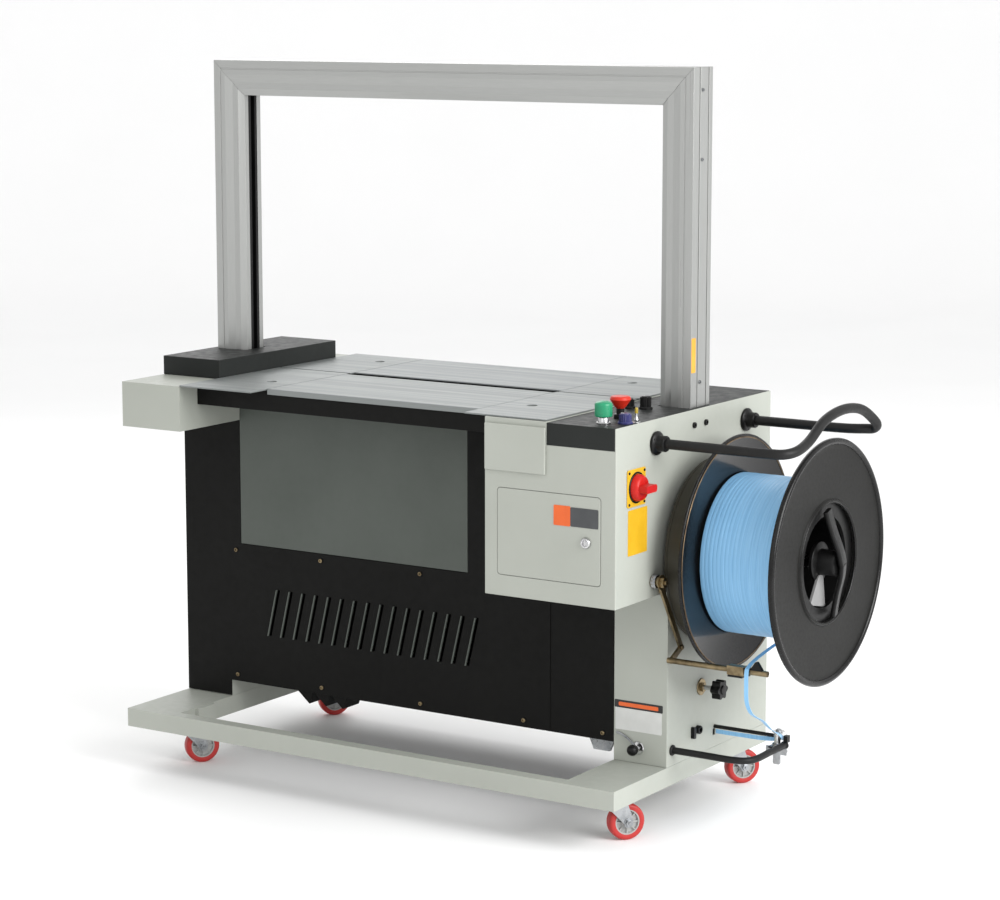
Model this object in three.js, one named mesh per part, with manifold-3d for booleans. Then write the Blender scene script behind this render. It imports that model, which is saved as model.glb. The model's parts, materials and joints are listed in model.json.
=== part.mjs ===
// Arch strapping machine with a side-mounted strap reel, on swivel casters.
// Millimetres, +Z up. Machine frame: X runs along the packing line from the infeed face (X = 0),
// Y runs across it from the operator's side (Y = 0), Z is height above the floor.
// The whole model is then centred over its own footprint.
import * as THREE from 'three';
import { mergeVertices } from 'three/addons/utils/BufferGeometryUtils.js';
import Module from 'manifold-3d';

const wasm = await Module();
wasm.setup();

// ---------------------------------------------------------------- driving dimensions
const DEPTH = 640;               // machine size along the line
const WIDTH = 1233;              // machine size across the line, without the reel
const SHEET = 3;                 // wall thickness of the sheet-metal bodies
const GAP = 0.3;                 // clearance between pieces that touch

const BASE_BOTTOM = 97;
const BASE_TOP = 137;
const BASE_MEMBER = 124;         // width of the two wide base members and of the columns
const BASE_RAIL = 30;            // width of the two narrow base rails

const WHEEL_RADIUS = 38;
const WHEEL_FACETS = 24;
const WHEEL_WIDTH = 26;
const CASTER_TRAIL = 34;
const CASTER_ANGLE = -38 * Math.PI / 180;
const CASTER_X = [110, 606];
const CASTER_INSET = 74;
const AXLE_Z = WHEEL_RADIUS * Math.cos(Math.PI / WHEEL_FACETS);

const TABLE_TOP = 860;
const PLATE = 3;
const CABINET_WIDTH = 300;
const CABINET_BOTTOM = 500;
const CABINET_TOP = 811;
const PANEL_TOP = 855;           // top of the control panel and of the near side plate
const PANEL_WIDTH = 157;
const COLUMN_X = 209;            // infeed face of the columns and of the lower panels
const SHOULDER = 760;            // underside of the far housing where it widens over the panels
const POOL_BOTTOM = 174;

const ARCH_X = 318;
const ARCH_DEPTH = 78;
const ARCH_FACE = 76;
const ARCH_INSET = 14;
const ARCH_TOP = 1535;
const ARCH_FOOT = 700;
const ARCH_MID = ARCH_X + ARCH_DEPTH / 2;

const REEL_X = 357;
const REEL_Z = 565;
const FLANGE_RADIUS = 248.5;
const COIL_RADIUS = 163;
const CORE_RADIUS = 98;

const SLOT_HALF = 17;            // half width of the strap slot in the table
const TABLE_IN = 59;             // infeed edge of the centre plates
const TABLE_OUT = 645;
const NEAR_SEAM = 352;           // seams between the side plates and the centre plates
const FAR_SEAM = 885;
const FAR_EDGE = 1075;

// ---------------------------------------------------------------- materials
const paint = (color, roughness = 0.5, metalness = 0) =>
  new THREE.MeshStandardMaterial({ color, roughness, metalness });
const LIGHT_GREY = paint(0xc9ccc6);
const TABLE_GREY = paint(0xa2a5a4, 0.35, 0.4);
const PANEL_BLACK = paint(0x1c1d1d, 0.55);
const PANEL_GREY = paint(0x5f635f, 0.5);
const DARK_SHEET = paint(0x3b3d3e, 0.45);
const ALUMINIUM = paint(0xd2d4d3, 0.3, 0.9);
const CHROME = paint(0xd8d8d8, 0.15, 1);
const ZINC = paint(0x9c7d52, 0.35, 0.8);
const BLACK_PLASTIC = paint(0x151515, 0.4);
const CHARCOAL = paint(0x474747, 0.5);
const STRAP_BLUE = paint(0x86bfe8, 0.25);
const TYRE_RED = paint(0xc23a2e, 0.5);
const SWITCH_RED = paint(0xd42a22, 0.35);
const START_GREEN = paint(0x1f9d6b, 0.35);
const KNOB_BLUE = paint(0x2b2a5a, 0.4);
const SIGN_YELLOW = paint(0xe3b12a, 0.5);
const STEEL = paint(0x8b8e90, 0.35, 0.9);

// ---------------------------------------------------------------- geometry helpers
const box = (x0, x1, y0, y1, z0, z1) =>
  new THREE.BoxGeometry(x1 - x0, y1 - y0, z1 - z0)
    .translate((x0 + x1) / 2, (y0 + y1) / 2, (z0 + z1) / 2);

const turnTo = { x: (g) => g.rotateZ(-Math.PI / 2), y: (g) => g, z: (g) => g.rotateX(Math.PI / 2) };

// A cylinder from `start` to `end` along one axis; `a` and `b` are its other two coordinates in X, Y, Z order.
const rod = (radius, axis, start, end, a, b, facets = 20) => {
  const middle = (start + end) / 2;
  const centre = { x: [middle, a, b], y: [a, middle, b], z: [a, b, middle] }[axis];
  const geometry = new THREE.CylinderGeometry(radius, radius, Math.abs(end - start), facets);
  return turnTo[axis](geometry).translate(...centre);
};

// A turned solid about the Y axis from a closed (radius, height) profile drawn in either direction.
const lathe = (profile, facets = 40) => {
  const area = profile.reduce((sum, [r, h], i) => {
    const [nextR, nextH] = profile[(i + 1) % profile.length];
    return sum + r * nextH - nextR * h;
  }, 0);
  const ordered = area > 0 ? profile : [...profile].reverse();
  return new THREE.LatheGeometry(ordered.map(([r, h]) => new THREE.Vector2(r, h)), facets);
};

// A closed ring about the Y axis between two radii and two heights.
const ring = (inner, outer, y0, y1, facets = 40) =>
  lathe([[inner, y0], [outer, y0], [outer, y1], [inner, y1], [inner, y0]], facets);

const outline = (points) => new THREE.Shape(points.map(([a, b]) => new THREE.Vector2(a, b)));

const roundedOutline = (a0, a1, b0, b1, radius) => {
  const shape = new THREE.Shape();
  shape.moveTo(a0 + radius, b0).lineTo(a1 - radius, b0);
  shape.absarc(a1 - radius, b0 + radius, radius, -Math.PI / 2, 0);
  shape.absarc(a1 - radius, b1 - radius, radius, 0, Math.PI / 2);
  shape.absarc(a0 + radius, b1 - radius, radius, Math.PI / 2, Math.PI);
  shape.absarc(a0 + radius, b0 + radius, radius, Math.PI, 1.5 * Math.PI);
  return shape;
};

const extrude = (shape, depth, curveSegments = 4) =>
  new THREE.ExtrudeGeometry(shape, { depth, bevelEnabled: false, curveSegments });

// A flat sheet drawn in (Y, Z) and thickened from x0 to x1.
const sheetYZ = (shape, x0, x1) =>
  extrude(shape, x1 - x0).rotateX(Math.PI / 2).rotateZ(Math.PI / 2).translate(x0, 0, 0);

// A flat sheet drawn in (X, Z) and thickened from y0 to y1.
const sheetXZ = (shape, y0, y1) =>
  extrude(shape, y1 - y0).rotateX(Math.PI / 2).translate(0, y1, 0);

// A round bar bent along a smooth route; its section has `sides` corners.
const tube = (points, radius, steps, sides = 12) => {
  const path = new THREE.CatmullRomCurve3(points.map((p) => new THREE.Vector3(...p)), false, 'centripetal');
  const section = new THREE.Shape();
  section.absarc(0, 0, radius, 0, 2 * Math.PI);
  return new THREE.ExtrudeGeometry(section, { steps, extrudePath: path, curveSegments: sides / 2 });
};

const toSolid = (geometry) => {
  const plain = geometry.clone();
  plain.deleteAttribute('normal');
  plain.deleteAttribute('uv');
  const merged = mergeVertices(plain);
  const index = merged.index.array;
  const kept = [];
  for (let i = 0; i < index.length; i += 3) {
    const [a, b, c] = [index[i], index[i + 1], index[i + 2]];
    if (a !== b && b !== c && c !== a) kept.push(a, b, c);
  }
  const vertProperties = new Float32Array(merged.attributes.position.array);
  return new wasm.Manifold(new wasm.Mesh({ numProp: 3, vertProperties, triVerts: new Uint32Array(kept) }));
};

const toGeometry = (solid) => {
  const mesh = solid.getMesh();
  const geometry = new THREE.BufferGeometry();
  geometry.setAttribute('position', new THREE.BufferAttribute(mesh.vertProperties, 3));
  geometry.setIndex(new THREE.BufferAttribute(mesh.triVerts, 1));
  geometry.computeVertexNormals();
  return geometry;
};

const join = (...pieces) => toGeometry(pieces.map(toSolid).reduce((a, b) => a.add(b)));
const cut = (body, ...tools) => toGeometry(tools.map(toSolid).reduce((a, b) => a.subtract(b), toSolid(body)));

const machine = new THREE.Group();
const add = (name, geometry, material, parent = machine) => {
  const mesh = new THREE.Mesh(geometry, material);
  mesh.name = name;
  parent.add(mesh);
  return mesh;
};

// ---------------------------------------------------------------- base and casters
const makeBaseFrame = () => {
  const inner = [BASE_RAIL, DEPTH - BASE_RAIL, BASE_MEMBER, WIDTH - BASE_MEMBER];
  const frame = cut(box(0, DEPTH, 0, WIDTH, BASE_BOTTOM, BASE_TOP),
    box(...inner, BASE_BOTTOM - 1, BASE_TOP + 1));
  const pockets = [
    [SHEET, DEPTH - SHEET, SHEET, BASE_MEMBER - SHEET],
    [SHEET, DEPTH - SHEET, WIDTH - BASE_MEMBER + SHEET, WIDTH - SHEET],
    [SHEET, BASE_RAIL - SHEET, SHEET, WIDTH - SHEET],
    [DEPTH - BASE_RAIL + SHEET, DEPTH - SHEET, SHEET, WIDTH - SHEET],
  ].map((p) => box(...p, BASE_BOTTOM - 1, BASE_TOP - SHEET));
  const casterPads = [];
  for (const x of CASTER_X) {
    for (const y of [CASTER_INSET, WIDTH - CASTER_INSET]) {
      casterPads.push(box(x - 48, x + 34, y - 40, y + 40, BASE_BOTTOM - 4, BASE_BOTTOM));
      casterPads.push(box(x - 30, x + 30, y - 60, y + 48, BASE_BOTTOM - 0.5, BASE_TOP - 1));
    }
  }
  const gussets = casterPads.filter((_, i) => i % 2 === 1);
  const pads = casterPads.filter((_, i) => i % 2 === 0);
  return join(cut(frame, ...pockets), ...pads, ...gussets);
};

const makeCasterFork = () => {
  const legOutline = outline([
    [-24, 92.4], [24, 92.4], [30, 84], [CASTER_TRAIL + 9, AXLE_Z - 4], [CASTER_TRAIL + 5, AXLE_Z - 10],
    [CASTER_TRAIL - 5, AXLE_Z - 10], [CASTER_TRAIL - 10, AXLE_Z - 2], [-20, 84],
  ]);
  const half = WHEEL_WIDTH / 2;
  const legs = [half + 2, -half - 5].map((y) => sheetXZ(legOutline, y, y + 3));
  const bridge = box(-22, 22, -half - 5, half + 5, 84, 92.4);
  const race = rod(25, 'z', 82, 92.4, 0, 0, 16);
  const axle = rod(5, 'y', -half - 9, half + 9, CASTER_TRAIL, AXLE_Z, 8);
  return cut(join(...legs, bridge, race, axle), box(-60, 60, -60, 60, 92.4, 100));
};

const makeCasterWheel = () => {
  const half = WHEEL_WIDTH / 2;
  const profile = [
    [5.4, -half], [12, -half], [25, 4 - half], [28, -half], [WHEEL_RADIUS - 3, -half],
    [WHEEL_RADIUS, 4 - half], [WHEEL_RADIUS, half - 4], [WHEEL_RADIUS - 3, half], [28, half],
    [25, half - 4], [12, half], [5.4, half], [5.4, -half],
  ];
  // Turned by half a facet so that the tyre stands on a flat.
  return lathe(profile, WHEEL_FACETS).rotateY(Math.PI / WHEEL_FACETS);
};

add('base_frame', makeBaseFrame(), LIGHT_GREY);
for (const [side, y] of [['near', CASTER_INSET], ['far', WIDTH - CASTER_INSET]]) {
  CASTER_X.forEach((x, i) => {
    const caster = new THREE.Group();
    caster.position.set(x, y, 0);
    caster.rotation.z = CASTER_ANGLE;
    machine.add(caster);
    const end = ['infeed', 'outfeed'][i];
    add(`caster_fork_${side}_${end}`, makeCasterFork(), CHROME, caster);
    const wheel = add(`caster_wheel_${side}_${end}`, makeCasterWheel(), TYRE_RED, caster);
    wheel.position.set(CASTER_TRAIL, 0, AXLE_Z);
  });
}

// ---------------------------------------------------------------- near housing: column and cabinet
const DOOR = { y0: 33, y1: 272, z0: 542, z1: 718, clearance: 0.8, corner: 8 };
const STRAP_ENTRY = { x: 408, z: 171 };

const makeNearHousing = () => {
  const body = join(
    box(0, DEPTH, 0, CABINET_WIDTH, CABINET_BOTTOM, CABINET_TOP),
    box(COLUMN_X, DEPTH, 0, BASE_MEMBER, BASE_TOP + GAP, CABINET_BOTTOM + 1),
    box(0, DEPTH, PANEL_WIDTH, CABINET_WIDTH, CABINET_TOP - 1, TABLE_TOP - PLATE - GAP),
    box(0, DEPTH, 0, SHEET, CABINET_TOP - 1, PANEL_TOP));
  const cabinetHollow = box(SHEET, DEPTH - SHEET, SHEET, CABINET_WIDTH - SHEET, CABINET_BOTTOM + SHEET, CABINET_TOP);
  const upperHollow = box(SHEET, DEPTH - SHEET, PANEL_WIDTH + SHEET, CABINET_WIDTH - SHEET, CABINET_TOP - 2, TABLE_TOP);
  const topMouth = box(SHEET, DEPTH - SHEET, SHEET, PANEL_WIDTH, CABINET_TOP - 2, CABINET_TOP + 1);
  const columnHollow = box(COLUMN_X + SHEET, DEPTH - SHEET, SHEET, BASE_MEMBER - SHEET,
    BASE_TOP - 1, CABINET_BOTTOM + SHEET + 1);
  const doorway = sheetYZ(roundedOutline(DOOR.y0, DOOR.y1, DOOR.z0, DOOR.z1, DOOR.corner), -1, SHEET + 1);
  const strapEntry = box(STRAP_ENTRY.x - 5, STRAP_ENTRY.x + 5, -1, SHEET + 1, STRAP_ENTRY.z - 8, STRAP_ENTRY.z + 5);
  return cut(body, cabinetHollow, upperHollow, topMouth, columnHollow, doorway, strapEntry);
};

const makeCabinetDoor = () => {
  const c = DOOR.clearance;
  return sheetYZ(roundedOutline(DOOR.y0 + c, DOOR.y1 - c, DOOR.z0 + c, DOOR.z1 - c, DOOR.corner - c), 0, SHEET);
};

const LOCK = { y: 66, z: 626 };
const makeDoorLock = () => cut(rod(9, 'x', -6, -GAP, LOCK.y, LOCK.z),
  box(-8, -4, LOCK.y - 1.5, LOCK.y + 1.5, LOCK.z - 7, LOCK.z + 7));

const makeInfeedEndBlock = () => box(-6, -GAP, PANEL_WIDTH + 1, CABINET_WIDTH - 2, 752, 845);

// Buttons pass through the control panel: centre, barrel radius.
const START = { x: 50, y: 58, barrel: 11 };
const STOP = { x: 128, y: 66, barrel: 13 };

const makeControlPanel = () => {
  const top = box(0, DEPTH, SHEET + GAP, PANEL_WIDTH - GAP, PANEL_TOP - SHEET, PANEL_TOP);
  const lip = box(0, SHEET, SHEET + GAP, PANEL_WIDTH - GAP, CABINET_TOP + GAP, PANEL_TOP - 1);
  const postHole = box(ARCH_X - 0.5, ARCH_X + ARCH_DEPTH + 0.5, ARCH_INSET - 0.5, ARCH_INSET + ARCH_FACE + 0.5,
    PANEL_TOP - 10, PANEL_TOP + 10);
  const barrels = [START, STOP].map(({ x, y, barrel }) =>
    rod(barrel + 0.5, 'z', PANEL_TOP - 10, PANEL_TOP + 10, x, y, 16));
  return cut(join(top, lip), postHole, ...barrels);
};

add('near_housing', makeNearHousing(), LIGHT_GREY);
add('cabinet_door', makeCabinetDoor(), LIGHT_GREY);
add('door_lock', makeDoorLock(), CHROME);
add('infeed_end_block', makeInfeedEndBlock(), LIGHT_GREY);
add('control_panel', makeControlPanel(), DARK_SHEET);

// ---------------------------------------------------------------- controls
const onPanel = PANEL_TOP + GAP;

// A turned control about the Z axis: [radius, height] steps from the panel up.
const turned = (steps, x, y, facets = 16) => {
  const profile = [[0, 0], ...steps, [0, steps[steps.length - 1][1]]];
  return lathe(profile, facets).rotateX(Math.PI / 2).translate(x, y, onPanel);
};

// A toggle lever whose foot stays clear of the panel as it tilts.
const makeToggle = (x, y) => join(
  rod(4.5, 'z', onPanel + 3, onPanel + 8, x, y, 12),
  rod(3, 'z', onPanel + 7, onPanel + 30, x, y, 12));

const startSteps = [[START.barrel, 0], [START.barrel, 13], [18, 15], [18, 40], [14, 45]];
const stopSteps = [[STOP.barrel, 0], [STOP.barrel, 8], [8, 9], [8, 20], [12, 23], [21, 37], [21, 41], [17, 44]];
add('start_button', turned(startSteps, START.x, START.y), START_GREEN);
add('stop_button', turned(stopSteps, STOP.x, STOP.y), SWITCH_RED);
add('tension_knob', turned([[15, 0], [15, 4], [12, 6], [11, 18], [9, 20]], 72, 22), KNOB_BLUE);
add('mode_toggle', makeToggle(94, 10), CHROME);
add('speed_knob', turned([[14, 0], [14, 4], [12, 6], [12, 23], [10, 26]], 266, 88), BLACK_PLASTIC);
add('feed_knob', turned([[11, 0], [11, 4], [9, 6], [9, 17], [7, 20]], 256, 118), BLACK_PLASTIC);

const SWITCH = { x: 76, z: 731 };
const makeSwitchPlate = () =>
  sheetXZ(roundedOutline(SWITCH.x - 35, SWITCH.x + 35, SWITCH.z - 37, SWITCH.z + 37, 5), -2.5, -GAP);
const makeSwitchHandle = () => join(
  rod(27, 'y', -19, -2.8, SWITCH.x, SWITCH.z, 32),
  box(SWITCH.x - 20, SWITCH.x + 20, -37, -18, SWITCH.z - 7.5, SWITCH.z + 7.5));
add('main_switch_plate', makeSwitchPlate(), SIGN_YELLOW);
add('main_switch_handle', makeSwitchHandle(), SWITCH_RED);

// ---------------------------------------------------------------- arch
const TRACK_HALF = 15;
const TRACK_DEPTH = 18;
const FAR_POST = WIDTH - ARCH_INSET;      // outer face of the far post

// Side of the arch profile, from its outer face inwards: [distance from the outer face, depth].
const ARCH_SIDE = [[0, 0], [17, 0], [17, 1.5], [20, 1.5], [20, 0], [30, 0], [48, 5], [62, 5], [ARCH_FACE, 11]];
const OUTER_GROOVES = [[24, 28], [60, 64]];
const GROOVE_DEPTH = 2.5;

// Section of the arch profile: outer face on Y = 0, open channel for the strap track in the inner face.
const archProfile = () => {
  const [mid, floor] = [ARCH_DEPTH / 2, ARCH_FACE - TRACK_DEPTH];
  return outline([
    ...OUTER_GROOVES.flatMap(([a, b]) => [[a, 0], [a, GROOVE_DEPTH], [b, GROOVE_DEPTH], [b, 0]]),
    ...ARCH_SIDE.map(([y, depth]) => [ARCH_DEPTH - depth, y]),
    [mid + TRACK_HALF, ARCH_FACE], [mid + TRACK_HALF, floor],
    [mid - TRACK_HALF, floor], [mid - TRACK_HALF, ARCH_FACE],
    ...[...ARCH_SIDE].reverse().map(([y, depth]) => [depth, y]),
  ]);
};

// The mitre plane runs from the outer top corner down to the inner corner.
const MITRE_OVERRUN = 10;
const mitreCut = (above) => {
  const side = above ? 1 : -1;
  const shift = -side * GAP / 2;
  const reach = ARCH_FACE + MITRE_OVERRUN;
  return sheetYZ(outline([
    [-MITRE_OVERRUN, ARCH_TOP + MITRE_OVERRUN + shift], [reach, ARCH_TOP - reach + shift],
    above ? [reach, ARCH_TOP + reach] : [-MITRE_OVERRUN, ARCH_TOP - reach],
  ]), -1, ARCH_DEPTH + 1);
};

// Near post with its outer face on Y = 0 and its infeed face on X = 0.
const makeArchPost = () =>
  cut(extrude(archProfile(), ARCH_TOP - ARCH_FOOT).translate(0, 0, ARCH_FOOT), mitreCut(true));

const makeArchBeam = () => {
  const length = WIDTH - 2 * ARCH_INSET;
  const bar = extrude(archProfile(), length).rotateX(-Math.PI / 2).translate(0, 0, ARCH_TOP);
  const farCut = mitreCut(false).rotateZ(Math.PI).translate(ARCH_DEPTH, length, 0);
  return cut(bar, mitreCut(false), farCut);
};

const makeArchTrack = () => {
  const frame = (half, inset, z0) => {
    const edge = ARCH_INSET + ARCH_FACE - inset;
    return box(ARCH_MID - half, ARCH_MID + half, edge, WIDTH - edge, z0, ARCH_TOP - ARCH_FACE + inset);
  };
  return cut(frame(TRACK_HALF - GAP, TRACK_DEPTH - GAP, TABLE_TOP + 2),
    frame(TRACK_HALF + 1, 0, TABLE_TOP), frame(7, 10, TABLE_TOP));
};

const nearPost = add('arch_near_post', makeArchPost(), ALUMINIUM);
nearPost.position.set(ARCH_X, ARCH_INSET, 0);
const farPost = add('arch_far_post', makeArchPost(), ALUMINIUM);
farPost.position.set(ARCH_X + ARCH_DEPTH, FAR_POST, 0);
farPost.rotation.z = Math.PI;
const topBeam = add('arch_top_beam', makeArchBeam(), ALUMINIUM);
topBeam.position.set(ARCH_X, ARCH_INSET, 0);
add('arch_track', makeArchTrack(), BLACK_PLASTIC);

// ---------------------------------------------------------------- far housing and its cover
const COVER = { x0: 144, x1: 570, y0: 1078, top: 898 };
const POST_CLEARANCE = 0.5;
const farPostHole = (z0, z1) => box(ARCH_X - POST_CLEARANCE, ARCH_X + ARCH_DEPTH + POST_CLEARANCE,
  FAR_POST - ARCH_FACE - POST_CLEARANCE, FAR_POST + POST_CLEARANCE, z0, z1);
const GLAND = { y: 1170, z: 300, radius: 11, bore: 6, length: 22 };

const makeFarHousing = () => {
  const front = COLUMN_X + SHEET + 0.5;
  const top = TABLE_TOP - PLATE - GAP;
  const body = join(
    box(front, DEPTH, WIDTH - BASE_MEMBER, WIDTH, BASE_TOP + GAP, SHOULDER + 1),
    box(4, DEPTH, FAR_EDGE + 1, WIDTH, SHOULDER, top),
    rod(GLAND.radius, 'x', DEPTH - 1, DEPTH + GLAND.length, GLAND.y, GLAND.z));
  const columnHollow = box(front + SHEET, DEPTH - SHEET, WIDTH - BASE_MEMBER + SHEET, WIDTH - SHEET,
    BASE_TOP - 1, SHOULDER + SHEET + 1);
  const shoulderHollow = box(4 + SHEET, DEPTH - SHEET, FAR_EDGE + 1 + SHEET, WIDTH - SHEET,
    SHOULDER + SHEET, top - SHEET);
  const glandBore = rod(GLAND.bore, 'x', DEPTH - SHEET - 1, DEPTH + GLAND.length + 1, GLAND.y, GLAND.z, 16);
  return cut(body, columnHollow, shoulderHollow, glandBore, farPostHole(top - 10, top + 10));
};

const makeFarCover = () => {
  const bottom = TABLE_TOP - PLATE;
  return cut(box(COVER.x0, COVER.x1, COVER.y0, WIDTH, bottom, COVER.top),
    box(COVER.x0 + SHEET, COVER.x1 - SHEET, COVER.y0 + SHEET, WIDTH - SHEET, bottom - 1, COVER.top - SHEET),
    farPostHole(COVER.top - 10, COVER.top + 10));
};

add('far_housing', makeFarHousing(), LIGHT_GREY);
add('far_cover', makeFarCover(), CHARCOAL);

// ---------------------------------------------------------------- table
const FINGER_HOLE = 11;
const LIP = 12;

// A table plate with folded-down lips along its two X edges and an optional finger hole.
const makeTablePlate = (x0, x1, y0, y1, lips, hole) => {
  const shape = outline([[x0, y0], [x1, y0], [x1, y1], [x0, y1]]);
  if (hole) {
    const finger = new THREE.Path();
    finger.absarc(hole[0], hole[1], FINGER_HOLE, 0, 2 * Math.PI);
    shape.holes.push(finger);
  }
  const top = extrude(shape, PLATE, 12).translate(0, 0, TABLE_TOP - PLATE);
  const edges = lips.map((x) => box(x, x + PLATE, y0, y1, TABLE_TOP - LIP, TABLE_TOP - 1));
  return lips.length ? join(top, ...edges) : top;
};

const SIDE_SEAM = 4;             // half width of the strap seam across the side plates
const SIDE_IN = 4;
const sidePlates = [['near', PANEL_WIDTH + 1.5, NEAR_SEAM - 1, 288], ['far', FAR_SEAM + 1, FAR_EDGE, 945]];
for (const [side, y0, y1, holeY] of sidePlates) {
  const infeed = makeTablePlate(SIDE_IN, ARCH_MID - SIDE_SEAM, y0, y1, [], [156, holeY]);
  const outfeed = makeTablePlate(ARCH_MID + SIDE_SEAM, TABLE_OUT, y0, y1, [], [556, holeY]);
  add(`table_${side}_infeed_plate`, infeed, TABLE_GREY);
  add(`table_${side}_outfeed_plate`, outfeed, TABLE_GREY);
}
const centre = [NEAR_SEAM + 1, FAR_SEAM - 1];
add('table_infeed_plate', makeTablePlate(TABLE_IN, ARCH_MID - SLOT_HALF, ...centre, [TABLE_IN]), TABLE_GREY);
add('table_outfeed_plate',
  makeTablePlate(ARCH_MID + SLOT_HALF, TABLE_OUT, ...centre, [TABLE_OUT - PLATE]), TABLE_GREY);

const BEAM_X = [[64, 92], [608, 637]];
const CROSS_Y = [[340, 365], [872, 897]];
const FRAME_BOTTOM = 812;
const CROSS_TOP = 836;
const makeTableFrame = () => {
  const top = TABLE_TOP - PLATE - GAP;
  const [y0, y1] = [CABINET_WIDTH + GAP, FAR_EDGE + 1 - GAP];
  const beams = BEAM_X.map(([x0, x1]) => cut(box(x0, x1, y0, y1, FRAME_BOTTOM, top),
    box(x0 + SHEET, x1 - SHEET, y0 - 1, y1 + 1, FRAME_BOTTOM - 1, top - SHEET)));
  const crosses = CROSS_Y.map(([a, b]) => box(BEAM_X[0][0] + 1, BEAM_X[1][1] - 1, a, b, FRAME_BOTTOM, CROSS_TOP));
  return join(...beams, ...crosses);
};
add('table_frame', makeTableFrame(), PANEL_BLACK);

const ANVIL = { y0: 590, y1: 650, halfX: 11.5, bottom: 790, top: TABLE_TOP - 8 };
const makeLowerTrack = () => {
  const [y0, y1] = [CABINET_WIDTH + GAP, FAR_EDGE + 1 - GAP];
  const bar = box(ARCH_MID - 14, ARCH_MID + 14, y0, y1, 838, TABLE_TOP - 4.5);
  const groove = box(ARCH_MID - 7, ARCH_MID + 7, y0 - 1, y1 + 1, 850, TABLE_TOP);
  const pocket = box(ARCH_MID - ANVIL.halfX - 0.5, ARCH_MID + ANVIL.halfX + 0.5,
    ANVIL.y0 - 0.5, ANVIL.y1 + 0.5, 830, TABLE_TOP);
  return cut(bar, groove, pocket);
};
add('lower_track', makeLowerTrack(), BLACK_PLASTIC);

// ---------------------------------------------------------------- lower panels and strap pool
const UPPER_SEAM = 485;
const PLAIN_END = 288;
const UPPER_PANEL_Y = 480;
const LOUVRE = { first: 452, count: 16, pitch: 34.6, bottom: 287, top: 392, lean: 25, width: 6 };
const panelX = [COLUMN_X, COLUMN_X + SHEET];

const makePlainPanel = () =>
  sheetYZ(outline([[125, POOL_BOTTOM], [PLAIN_END, POOL_BOTTOM], [PLAIN_END, CABINET_BOTTOM - 1.5],
    [125, CABINET_BOTTOM - 1.5]]), ...panelX);

const makeLouvredPanel = () => {
  const [housing, shoulder] = [WIDTH - BASE_MEMBER, SHOULDER - 1];
  const shape = outline([
    [PLAIN_END + 1, POOL_BOTTOM], [housing, POOL_BOTTOM], [housing, BASE_TOP + 2], [WIDTH - 2, BASE_TOP + 2],
    [WIDTH - 2, shoulder], [FAR_EDGE + 2, shoulder], [FAR_EDGE + 2, UPPER_SEAM], [UPPER_PANEL_Y - 1, UPPER_SEAM],
    [UPPER_PANEL_Y - 1, CABINET_TOP], [CABINET_WIDTH + 1, CABINET_TOP],
    [CABINET_WIDTH + 1, CABINET_BOTTOM - 1.5], [PLAIN_END + 1, CABINET_BOTTOM - 1.5],
  ]);
  const slots = Array.from({ length: LOUVRE.count }, (_, i) => {
    const y = LOUVRE.first + i * LOUVRE.pitch;
    return sheetYZ(outline([
      [y, LOUVRE.top], [y + LOUVRE.width, LOUVRE.top],
      [y + LOUVRE.width + LOUVRE.lean, LOUVRE.bottom], [y + LOUVRE.lean, LOUVRE.bottom],
    ]), panelX[0] - 1, panelX[1] + 1);
  });
  return cut(sheetYZ(shape, ...panelX), ...slots);
};

const makeUpperPanel = () => sheetYZ(
  outline([[UPPER_PANEL_Y, UPPER_SEAM + 1], [FAR_EDGE + 1, UPPER_SEAM + 1], [FAR_EDGE + 1, CABINET_TOP],
    [UPPER_PANEL_Y, CABINET_TOP]]), ...panelX);

// Open-fronted box that holds the loose strap, with a full-height back wall on the outfeed side.
const makeStrapPool = () => {
  const [x0, x1] = [COLUMN_X + SHEET + GAP, DEPTH - SHEET];
  const [y0, y1] = [BASE_MEMBER + 1, WIDTH - BASE_MEMBER - 1];
  const wall = 2;
  const lower = cut(box(x0, x1, y0, y1, POOL_BOTTOM, CABINET_BOTTOM - 1.5),
    box(x0 - 1, x1 - wall, y0 + wall, y1 - wall, POOL_BOTTOM + wall, CABINET_BOTTOM));
  const back = box(x1 - wall, x1, CABINET_WIDTH + 1, FAR_EDGE, CABINET_BOTTOM - 5, CABINET_TOP);
  const backCorner = box(x1 - wall, x1, FAR_EDGE - 1, y1, CABINET_BOTTOM - 5, SHOULDER - 1);
  const fins = [796, 841, 886].map((y) => sheetYZ(outline([
    [y, POOL_BOTTOM + 1], [y + 44, POOL_BOTTOM + 1], [y + 11, POOL_BOTTOM - 27],
  ]), x0, x0 + 60));
  return join(lower, back, backCorner, ...fins);
};

add('plain_panel', makePlainPanel(), PANEL_BLACK);
add('louvred_panel', makeLouvredPanel(), PANEL_BLACK);
add('upper_panel', makeUpperPanel(), PANEL_GREY);
add('strap_pool', makeStrapPool(), PANEL_BLACK);

// ---------------------------------------------------------------- strapping head
const HEAD_X = [296, 412];       // infeed faces of the two side plates
const HEAD_PLATE = 6;
const FEED = { y: 430, z: 760, radius: 38, axle: 8 };
const PINCH = { radius: 18, axle: 6 };
PINCH.z = FEED.z - FEED.radius - PINCH.radius - 0.8;
const MOTOR = { y: 560, z: 668, radius: 46 };

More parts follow.
